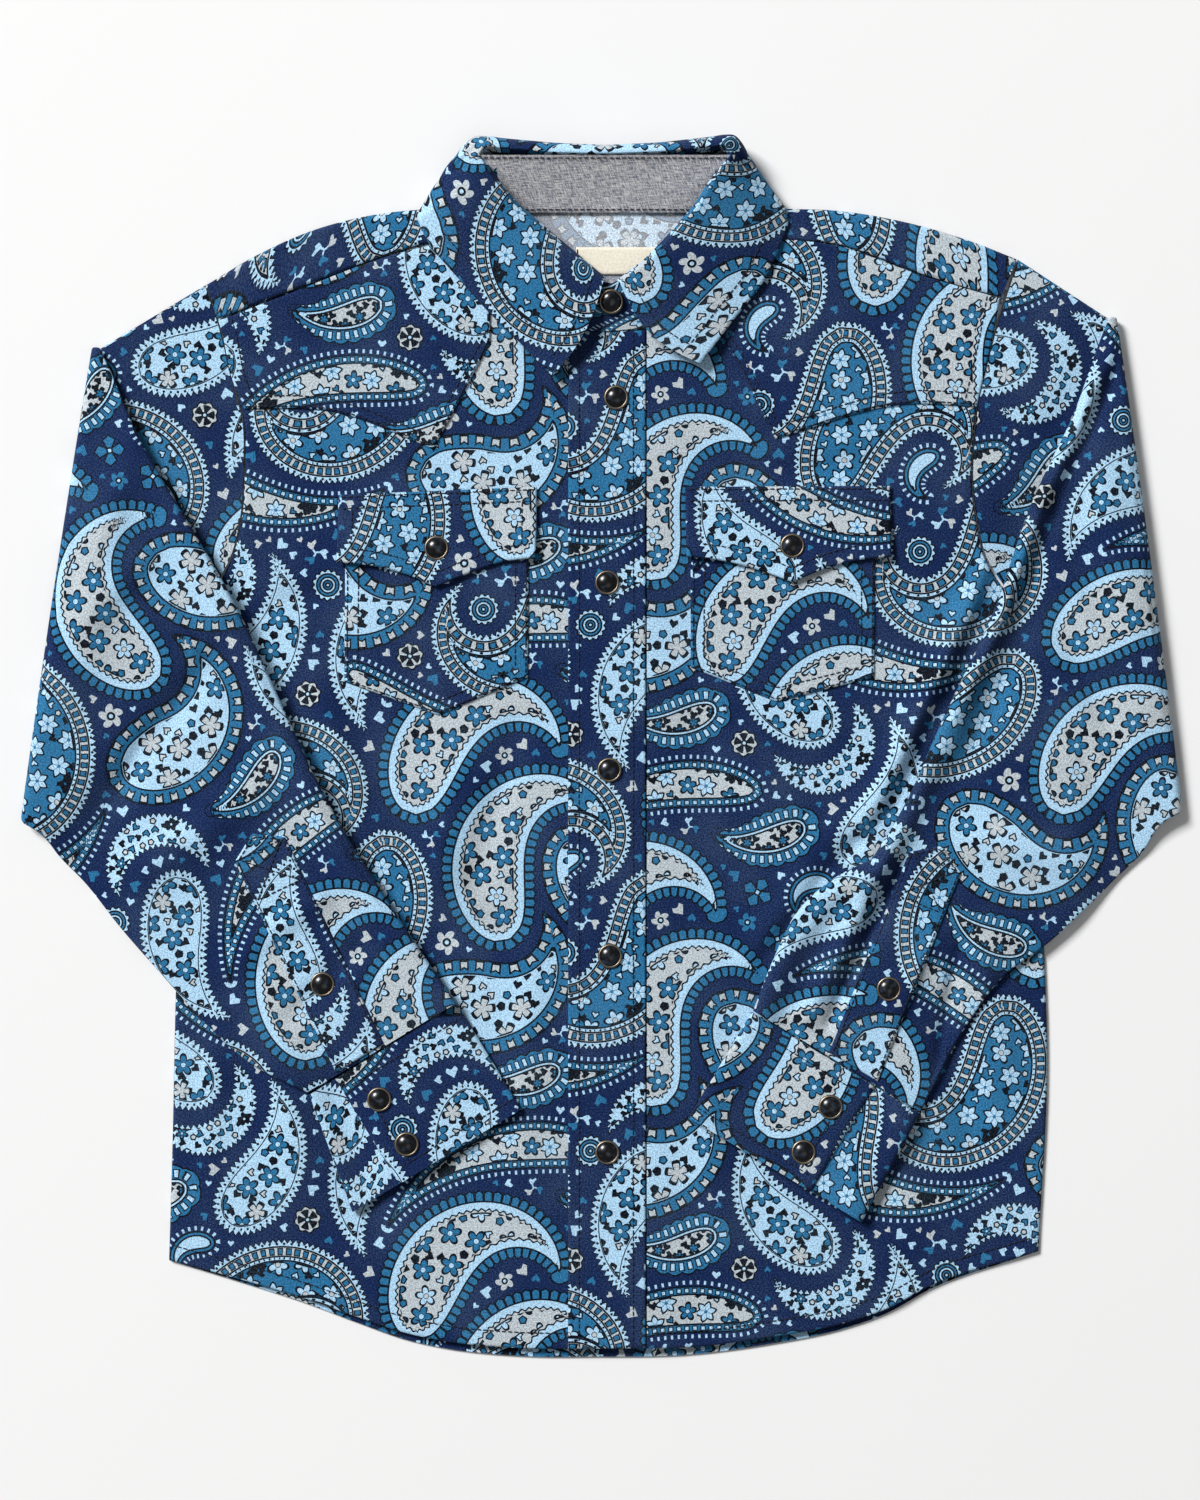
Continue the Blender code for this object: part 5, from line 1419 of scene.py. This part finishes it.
# Collar fall: x, y, z of the roll, direction out in degrees, length, reach, bow, and the height
# of the outer face at its edge or where it turns down. A reach over the length lies flat.
FALL = (
    ("right point", 1, 209, 13.6, 241.8, 48.5, 99, 3.5, 10.2),
    ("right leaf", -11.5, 219.5, 14.4, 236.3, 45.4, 99, 1, 8.6),
    ("right leaf", -25.5, 231, 15.6, 233, 43.4, 99, 0, 7.8),
    ("right leaf", -39, 242.5, 16.4, 229.9, 40.5, 99, 0, 7.0),
    ("right shoulder", -46, 251, 18.8, 222, 40.5, 99, 0, 7.0),
    ("right shoulder", -49.5, 255.5, 20, 210, 38, 41, 0, 7.6),
    ("right neck", -51.5, 259, 20.8, 205, 35, 30, 0, 9.4),
    ("right neck", -53, 261.5, 21.1, 198, 33, 20.5, 0, 12.0),
    ("right neck", -54.3, 264, 21.4, 178, 27, 11, 0, 18.0),
    ("right corner", -51.5, 267.3, 21.6, 132, 26, 8, 0, 21.0),
    ("back", -45, 266.5, 21.8, 97, 30, 6, 0, 21.5),
    ("back", -22, 264.5, 21.8, 90, 40, 5.8, 0, 21.5), ("back", 2, 264, 21.8, 90, 40, 5.2, 0, 21.5),
    ("back", 26, 264.8, 21.8, 90, 40, 5.6, 0, 21.5), ("back", 48.5, 267, 21.8, 84, 30, 6, 0, 21.5),
    ("left corner", 54.5, 267.8, 21.6, 50, 26, 8, 0, 21.0),
    ("left neck", 57.4, 264.5, 21.4, 2, 27, 8.4, 0, 18.0),
    ("left neck", 56.3, 262, 21.1, -14, 32, 14.5, 0, 12.0),
    ("left neck", 54.7, 259.3, 20.8, -21, 31, 22.5, 0, 9.6),
    ("left shoulder", 52.5, 256, 20, -25, 32.5, 33, 0, 7.8),
    ("left shoulder", 49, 251.5, 18.8, -25, 38.5, 99, 0, 7.0),
    ("left leaf", 42.5, 241.5, 16.4, -28.5, 41.5, 99, 0, 7.0),
    ("left leaf", 32, 229.5, 15.6, -29, 45.5, 99, 0, 7.8),
    ("left leaf", 21, 218, 14.6, -35, 46.2, 99, -2.5, 8.8),
    ("left point", 8, 208, 14.0, -45, 50.9, 99, -6.5, 10.2),
)
FALL_FOOT = 0.1  # underside of the fall where it has turned under
FALL_BEND = 6.0  # how far the fall swings out where it turns down
ROLL_LIP = 0.6  # from the inner edge of the roll to its highest line
ROLL_DROP = 1.3  # inner edge of the roll below its highest line


def along_table(rows, count, soften):
    """Numbers of a table read at even steps between its rows, and softened from row to row."""
    rows = np.array(rows, float)
    places = np.linspace(0, len(rows) - 1, count)
    read = np.stack([np.interp(places, np.arange(len(rows)), column) for column in rows.T], -1)
    for _ in range(soften):
        read[1:-1] = (read[:-2] + 2 * read[1:-1] + read[2:]) / 4
    return read


def face_normals(grid):
    normals = np.cross(np.gradient(grid, axis=1), np.gradient(grid, axis=0))
    return normals / np.linalg.norm(normals, axis=2, keepdims=True)


stand_rows = along_table([row[1:] for row in STAND], 271, 8)
stand_lower, stand_upper = stand_rows[:, :3], stand_rows[:, 3:]
shares = np.linspace(0, 1, 15)[:, None, None]
stand_grid = stand_upper + (stand_lower - stand_upper) * shares
stand_inner = stand_grid - face_normals(stand_grid) * CLOTH
stand_cloth = np.stack((walked(stand_grid, 1), -walked(stand_grid, 0)), -1) + (40, 110)
rim = np.concatenate((stand_inner[:1], stand_grid[:1]))
rim_cloth = np.concatenate((stand_cloth[:1] + (0, 1), stand_cloth[:1]))
collar_stand = add_printed(
    "printed_collar_stand",
    [
        (stand_grid, stand_cloth, False),
        (stand_inner[:, ::-1], stand_cloth[:, ::-1], False),
        (rim, rim_cloth, False),
    ],
    ["collar_stand"],
)


def fall_section(row, count):
    """Points from the roll of the collar out to its edge, turned under where it hangs over."""
    x, y, z, direction, length, reach, bow, shelf = row
    out = np.array((math.cos(math.radians(direction)), math.sin(math.radians(direction))))
    sideways = np.array((-out[1], out[0]))
    tall = (shelf - FALL_FOOT) / 2
    wide = min(FALL_BEND, tall, reach - ROLL_LIP)
    straight = min(reach - wide, length)
    turn = math.pi * (wide + tall) / 2
    points = [
        (x + out[0] * place, y + out[1] * place, z - down)
        for place, down in (
            (-1.6, ROLL_DROP + 2.6), (-0.5, ROLL_DROP + 1.0), (0.0, ROLL_DROP), (0.15, 0.4),
        )
    ]
    for step in range(count):
        walk = ROLL_LIP + (length - ROLL_LIP) * step / (count - 1)
        if walk <= straight:
            share = walk / straight
            spot = out * walk + sideways * bow * math.sin(math.pi * share)
            height = z + (shelf - z) * share + 0.5 * math.sin(math.pi * share)
        else:
            angle = min((walk - straight) / turn, 1.0) * math.pi
            spot = out * (straight + wide * math.sin(angle) - max(walk - straight - turn, 0.0))
            height = shelf - tall * (1 - math.cos(angle))
        points.append((x + spot[0], y + spot[1], height))
    end = np.array(points[-1])
    inward = np.array(points[-2]) - end
    inward /= np.linalg.norm(inward)
    return points + [end - (0, 0, 0.5) - inward * 0.15, end - (0, 0, 1.1) + inward * 0.3]


fall_rows = along_table([row[1:] for row in FALL], 241, 3)
fall_grid = np.array([fall_section(row, 34) for row in fall_rows]).transpose(1, 0, 2)
lowest = 0.15 + 0.3 * np.linspace(0, 1, len(fall_grid))[::-1, None]
fall_grid[..., 2] = np.maximum(fall_grid[..., 2], lowest)
fall_u = walked(fall_grid, 1)[13]
fall_cloth = np.stack((fall_u + 0 * fall_grid[..., 0], -walked(fall_grid, 0)), -1) + (0, 190)
collar = add_printed("printed_collar", [(fall_grid, fall_cloth, False)], ["collar"])


def woven(name, dark, pale, pitch, slub, rough):
    """A plain weave of two yarns, thick and thin by turns, on a piece's Cloth map."""
    made = surface(name)
    tree = made.node_tree
    x, y = map_fields(tree, "Cloth")
    grains = []
    for wide, tall in ((0.4, 4.0), (5.0, 0.35), (1.1, 1.1)):
        across, up = (x * (1 / wide)).socket, (y * (1 / tall)).socket
        place = add_node(tree, "CombineXYZ", {0: across, 1: up}).outputs[0]
        grains.append(Field(tree, noise(tree, place, 1.0, 1.0)) - 0.5)
    over = (x * (math.tau / pitch)).math("SINE") * (y * (math.tau / pitch)).math("SINE")
    mixed = (grains[0] + grains[1]) * slub + grains[2] * 0.8 + over * 0.12 + 0.5
    share = mixed.math("MAXIMUM", 0.0).math("MINIMUM", 1.0).socket
    feed(tree, tree.nodes["Principled BSDF"], {
        "Base Color": blend(tree, share, tint(*dark), tint(*pale)),
        "Normal": roughen(tree, mixed.socket, 0.4, 0.00015),
        "Roughness": rough, "Specular IOR Level": 0.1,
    })
    return made


def add_woven(name, node, grid, cloth, material):
    quads = grid_quads(*grid.shape[:2])
    made = add_mesh(name, grid.reshape(-1, 3), quads.tolist())
    add_map(made.data, "Cloth", cloth.reshape(-1, 2)[quads])
    made.data.materials.append(material)
    fit(made, [node])


# Chambray: x, y, z of its corners, lower left first, under the roll of the collar at both ends
FACING = ((-47.5, 240.4, 3.0), (52.5, 240.4, 3.0), (-56.5, 263.6, 20.3), (59.5, 263.6, 20.3))
low_left, low_right, top_left, top_right = np.array(FACING)
across = np.linspace(0, 1, 90)[None, :, None]
up = np.linspace(0, 1, 22)[:, None, None]
facing_grid = (1 - up) * (low_left + (low_right - low_left) * across) + up * (
    top_left + (top_right - top_left) * across
)
hollow = np.sin(math.pi * across[..., 0]) * np.sin(math.pi * up[..., 0])
facing_grid[..., 2] -= 0.3 * hollow
facing_grid[..., 1] += 0.25 * ripple(facing_grid[..., 0], facing_grid[..., 1], 30, 2) * hollow
add_woven(
    "chambray_facing", "stand_facing", facing_grid,
    np.stack((walked(facing_grid, 1), walked(facing_grid, 0)), -1),
    woven("chambray", (124, 128, 146), (250, 248, 248), 0.9, 1.7, 0.9),
)


# ----------------------------------------
# Label: a small strip of woven cream tape, left bare. It lies inside the neck, stitched at both
# ends to the wrong side of the yoke.
# ----------------------------------------

LABEL = ((-11.5, 212.5), (27.5, 212.5), (-11.5, 225.0), (27.5, 225.0))  # corners: x, y

low_left, low_right, top_left, top_right = LABEL
label_flat = patch(
    (low_left, low_right), (top_left, top_right), (low_left, top_left), (low_right, top_right)
)
label_grid = with_height(label_flat, CLOTH + LIFT - turned_edge(label_flat, ALL_ROUND))
add_woven(
    "cream_label", "label", label_grid, label_flat,
    woven("label_tape", (214, 204, 182), (243, 238, 224), 0.8, 0.7, 0.75),
)


# ----------------------------------------
# Sewing: navy thread in lockstitch along every edge, two rows on the yokes and the placket. Each
# stitch is a short round-ended length of thread lying on the cloth.
# ----------------------------------------

STITCH_PITCH, STITCH_LENGTH, THREAD_RADIUS = 2.8, 2.2, 0.3
# Pieces, their sides, how far in from them, how much is left out at both ends
ROWS = (
    ("pocket_right pocket_left", "left right bottom", 1.2, 1),
    ("pocket_right pocket_left", "left right bottom", 6.2, 6),
    ("flap_right flap_left", "left right bottom", 6.5, 6),
    ("flap_right flap_left", "top", 1.3, 1),
    ("flap_right flap_left", "top", 6.5, 1),
    ("placket", "left", 4.9, 0),
    ("placket", "right", 5.8, 0),
    ("front_yoke_right front_yoke_left", "bottom", 1.3, 0),
    ("front_yoke_right front_yoke_left", "bottom", 6.3, 0),
    ("front_yoke_right", "left", 6.0, 0),
    ("front_yoke_left", "right", 6.0, 0),
    ("front_right front_left", "bottom", 8.0, 2),
    ("sleeve_placket_right sleeve_placket_left", "left right top", 1.4, 1),
    ("cuff_right cuff_left", "top bottom", 6.0, 1),
    ("cuff_right cuff_left", "left", 6.0, 6),
    ("stand_facing", "top", 1.6, 0),
    ("stand_facing", "bottom", 1.4, 0),
    ("leaf_right leaf_left", "top", 6.0, 6),
    ("leaf_right", "left", 6.0, 2),
    ("leaf_left", "right", 6.0, 2),
    ("label", "left right", 1.2, 1),
)
LEAF_WIDE, LEAF_LONG = 48, slice(3, 36)  # columns and rows of the fall that make a leaf
SEWN |= {
    "stand_facing": facing_grid, "label": label_grid,
    "leaf_right": fall_grid[LEAF_LONG, :LEAF_WIDE], "leaf_left": fall_grid[LEAF_LONG, -LEAF_WIDE:],
}


def row_inside(grid, side, inset, trim):
    """A line of points on a grid, at a distance in from one of its sides."""
    grid = {
        "bottom": grid, "top": grid[::-1], "left": grid.transpose(1, 0, 2),
        "right": grid[:, ::-1].transpose(1, 0, 2),
    }[side]
    away = walked(grid, 0)
    line = []
    for column in range(grid.shape[1]):
        place = np.interp(inset, away[:, column], np.arange(len(grid)))
        low = min(int(place), len(grid) - 2)
        line.append(grid[low, column] * (low + 1 - place) + grid[low + 1, column] * (place - low))
    return spaced_out(np.array(line), trim)


def spaced_out(line, trim):
    """A line of points read again at the pitch of the stitches."""
    run = np.concatenate(([0.0], np.cumsum(np.linalg.norm(np.diff(line, axis=0), axis=1))))
    count = int((run[-1] - 2 * trim) / STITCH_PITCH)
    first = trim + (run[-1] - 2 * trim - count * STITCH_PITCH) / 2
    places = first + STITCH_PITCH * np.arange(count + 1)
    return np.stack([np.interp(places, run, values) for values in line.T], -1)


def stitches(line):
    """Points and faces of round-ended stitches along a line of points, twenty points to each."""
    start, end = line[:-1], line[1:]
    along = (end - start) / np.linalg.norm(end - start, axis=1, keepdims=True)
    side = np.cross((0, 0, 1.0), along)
    side /= np.linalg.norm(side, axis=1, keepdims=True)
    up = np.cross(along, side)
    middle = (start + end) / 2 + up * THREAD_RADIUS * 0.7
    half = STITCH_LENGTH / 2
    rings = [middle - along * half]
    for reach, thick in ((-0.86, 0.75), (0.0, 1.0), (0.86, 0.75)):
        for angle in np.radians(np.arange(0, 360, 60)):
            out = (side * math.cos(angle) + up * math.sin(angle)) * (THREAD_RADIUS * thick)
            rings.append(middle + along * half * reach + out)
    rings.append(middle + along * half)
    faces = []
    for number in range(6):
        after = (number + 1) % 6
        faces += [(0, 1 + after, 1 + number, 1 + number), (19, 13 + number, 13 + after, 13 + after)]
        for first in (1, 7):
            faces.append((first + number, first + after, first + 6 + after, first + 6 + number))
    return np.stack(rings, 1), np.array(faces)


lines = [spaced_out(line, 0.5) for line in CROSSES]
for pieces, sides, inset, trim in ROWS:
    for piece in pieces.split():
        lines += [row_inside(SEWN[piece], side, inset, trim) for side in sides.split()]
points, faces, first = [], [], 0
for line in lines:
    spots, pattern = stitches(line)
    points.append(spots.reshape(-1, 3))
    faces.append((pattern + first + 20 * np.arange(len(spots))[:, None, None]).reshape(-1, 4))
    first += len(points[-1])
faces = [tuple(dict.fromkeys(face)) for face in np.concatenate(faces).tolist()]
sewing = add_mesh("stitches", np.concatenate(points), faces)
thread = surface("navy_thread", {"Base Color": tint(11, 16, 36), "Roughness": 0.7})
sewing.data.materials.append(thread)
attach(sewing, "root")


# ----------------------------------------
# Snaps: fourteen caps down the front and on the flaps, cuffs and sleeve plackets. Each is a black
# pearl dome held in a thin rim of antique metal, whose prongs go through the cloth.
# ----------------------------------------

# Profile from the foot of the rim to its inner edge, then over the dome: radius, height
RIM = ((5.45, 0.0), (5.55, 0.5), (5.45, 1.0), (5.1, 1.35), (4.75, 1.4), (4.55, 1.2))
DOME = ((4.35, 1.5), (3.8, 1.95), (3.0, 2.4), (2.0, 2.75), (1.0, 2.95), (0.0, 3.0))
SNAP_SIDES = 32
BAND_SNAP = (4.3, 199.5, 9.2)
BAND_SLOPE = 0.16
PLACKET_SNAPS = ((6.5, 157), (2.5, 74), (3.5, -10), (3.8, -93.5), (2.5, -181.5))
CUFF_SNAPS = ((52.0, 18.0), (52.0, 41.5))  # across the cuff and down it

pearl = surface("black_pearl", {"Roughness": 0.24})
tree = pearl.node_tree
cloud = noise(tree, add_node(tree, "TexCoord").outputs["Object"], 420.0, 3.0, "3D")
shades = add_node(tree, "ValToRGB", {0: cloud})
dark, pale = shades.color_ramp.elements
dark.position, dark.color = 0.5, tint(10, 11, 14)
pale.position, pale.color = 0.8, tint(48, 60, 78)
feed(tree, tree.nodes["Principled BSDF"], {"Base Color": shades.outputs[0]})
antique = surface(
    "antique_metal", {"Base Color": tint(140, 128, 112), "Metallic": 1.0, "Roughness": 0.38}
)


def model_cap():
    """One cap at the origin: a ring drawn up the rim, in over the dome and closed below."""
    rows = (*RIM, *DOME)
    foot = rows[0][0] * MM
    bpy.ops.mesh.primitive_circle_add(vertices=SNAP_SIDES, radius=foot, location=(0, 0, 0))
    made = bpy.context.active_object
    bpy.ops.object.mode_set(mode="EDIT")
    for (wide, low), (narrow, high) in zip(rows, rows[1:]):
        up = {"value": (0, 0, (high - low) * MM)}
        bpy.ops.mesh.extrude_region_move(TRANSFORM_OT_translate=up)
        share = narrow / wide
        bpy.ops.transform.resize(value=(share, share, 1), center_override=(0, 0, 0))
    bpy.ops.mesh.select_all(action="SELECT")
    bpy.ops.mesh.remove_doubles(threshold=0.01 * MM)
    bpy.ops.mesh.select_all(action="DESELECT")
    bpy.ops.mesh.select_non_manifold()
    bpy.ops.mesh.edge_face_add()
    bpy.ops.mesh.select_all(action="SELECT")
    bpy.ops.mesh.normals_make_consistent(inside=False)
    bpy.ops.object.mode_set(mode="OBJECT")
    bpy.ops.object.shade_smooth_by_angle(angle=math.radians(60))
    made.data.materials.append(antique)
    made.data.materials.append(pearl)
    for face in made.data.polygons:
        out = math.hypot(*face.center[:2])
        face.material_index = int(out < RIM[-1][0] * MM and face.center[2] > RIM[1][1] * MM)
    made.select_set(False)
    return made


cap = model_cap()


def add_snap(node, seat, slope=0.0):
    """One cap on its seat, leaning back by a slope in y."""
    made = bpy.data.objects.new("cap_" + node, cap.data.copy())
    x, y, z = (float(value) * MM for value in seat)
    made.data.transform(Matrix(((1, 0, 0, x), (0, 1, 0, y), (0, slope, 1, z), (0, 0, 0, 1))))
    bpy.context.collection.objects.link(made)
    fit(made, [node])


add_snap("snap_band", BAND_SNAP, BAND_SLOPE)
for number, (x, y) in enumerate(PLACKET_SNAPS, 1):
    add_snap(f"snap_placket_{number}", (x, y, front_top(x, y) + LIFT))
for side, (x, y) in FLAP_SNAPS.items():
    add_snap("snap_flap_" + side, (x, y, FRONT_TOPS[side](x, y) + 2 * LIFT))
for side in CUFFS:
    for number, (across, along) in enumerate(CUFF_SNAPS, 1):
        add_snap(f"snap_cuff_{side}_{number}", cuff_point(side, across, along, CUFF_INNER + LIFT))
for side, seat in STRAP_SEATS.items():
    x, y = STRAPS[side][2]
    add_snap("snap_sleeve_" + side, (x, y, seat(np.array([x]), np.array([y]))[0]))
bpy.data.objects.remove(cap)


# ----------------------------------------
# Table, light and camera: the shirt lies on plain white paper in soft light from a window at the
# upper left, with a weak fill from below, and the camera looks straight down on it.
# ----------------------------------------

CAMERA_HEIGHT = 1.75
VIEW_TALL = 0.675  # of the table, from the top of the view to its foot
SENSOR = 36.0
TABLE_TOP = -0.0003

bpy.ops.mesh.primitive_plane_add(size=6, location=(0, 0, TABLE_TOP))
floor = bpy.context.active_object
floor.name = "table"
paper = surface("white_paper", {"Base Color": (0.82, 0.82, 0.82, 1), "Roughness": 0.9})
floor.data.materials.append(paper)

for name, place, size, power in (
    ("window", (-5.8, 5.2, 6.6), 3.0, 1430),
    ("fill", (0.8, -1.6, 5.0), 2.4, 14),
):
    light = bpy.data.lights.new(name, "AREA")
    light.shape, light.size, light.energy = "SQUARE", size, power
    lamp = bpy.data.objects.new(name, light)
    lamp.location = place
    lamp.rotation_euler = (-Vector(place)).to_track_quat("-Z", "Y").to_euler()
    bpy.context.collection.objects.link(lamp)

world = bpy.data.worlds.new("room")
world.use_nodes = True
sky = {"Color": (1.0, 0.99, 0.98, 1), "Strength": 0.2}
feed(world.node_tree, world.node_tree.nodes["Background"], sky)
bpy.context.scene.world = world
bpy.context.scene.view_settings.view_transform = "Standard"

camera = bpy.data.cameras.new("overhead")
camera.sensor_width, camera.lens = SENSOR, SENSOR * CAMERA_HEIGHT / VIEW_TALL
overhead = bpy.data.objects.new("overhead", camera)
overhead.location = (-0.0007, -0.0011, CAMERA_HEIGHT)
bpy.context.collection.objects.link(overhead)
bpy.context.scene.camera = overhead
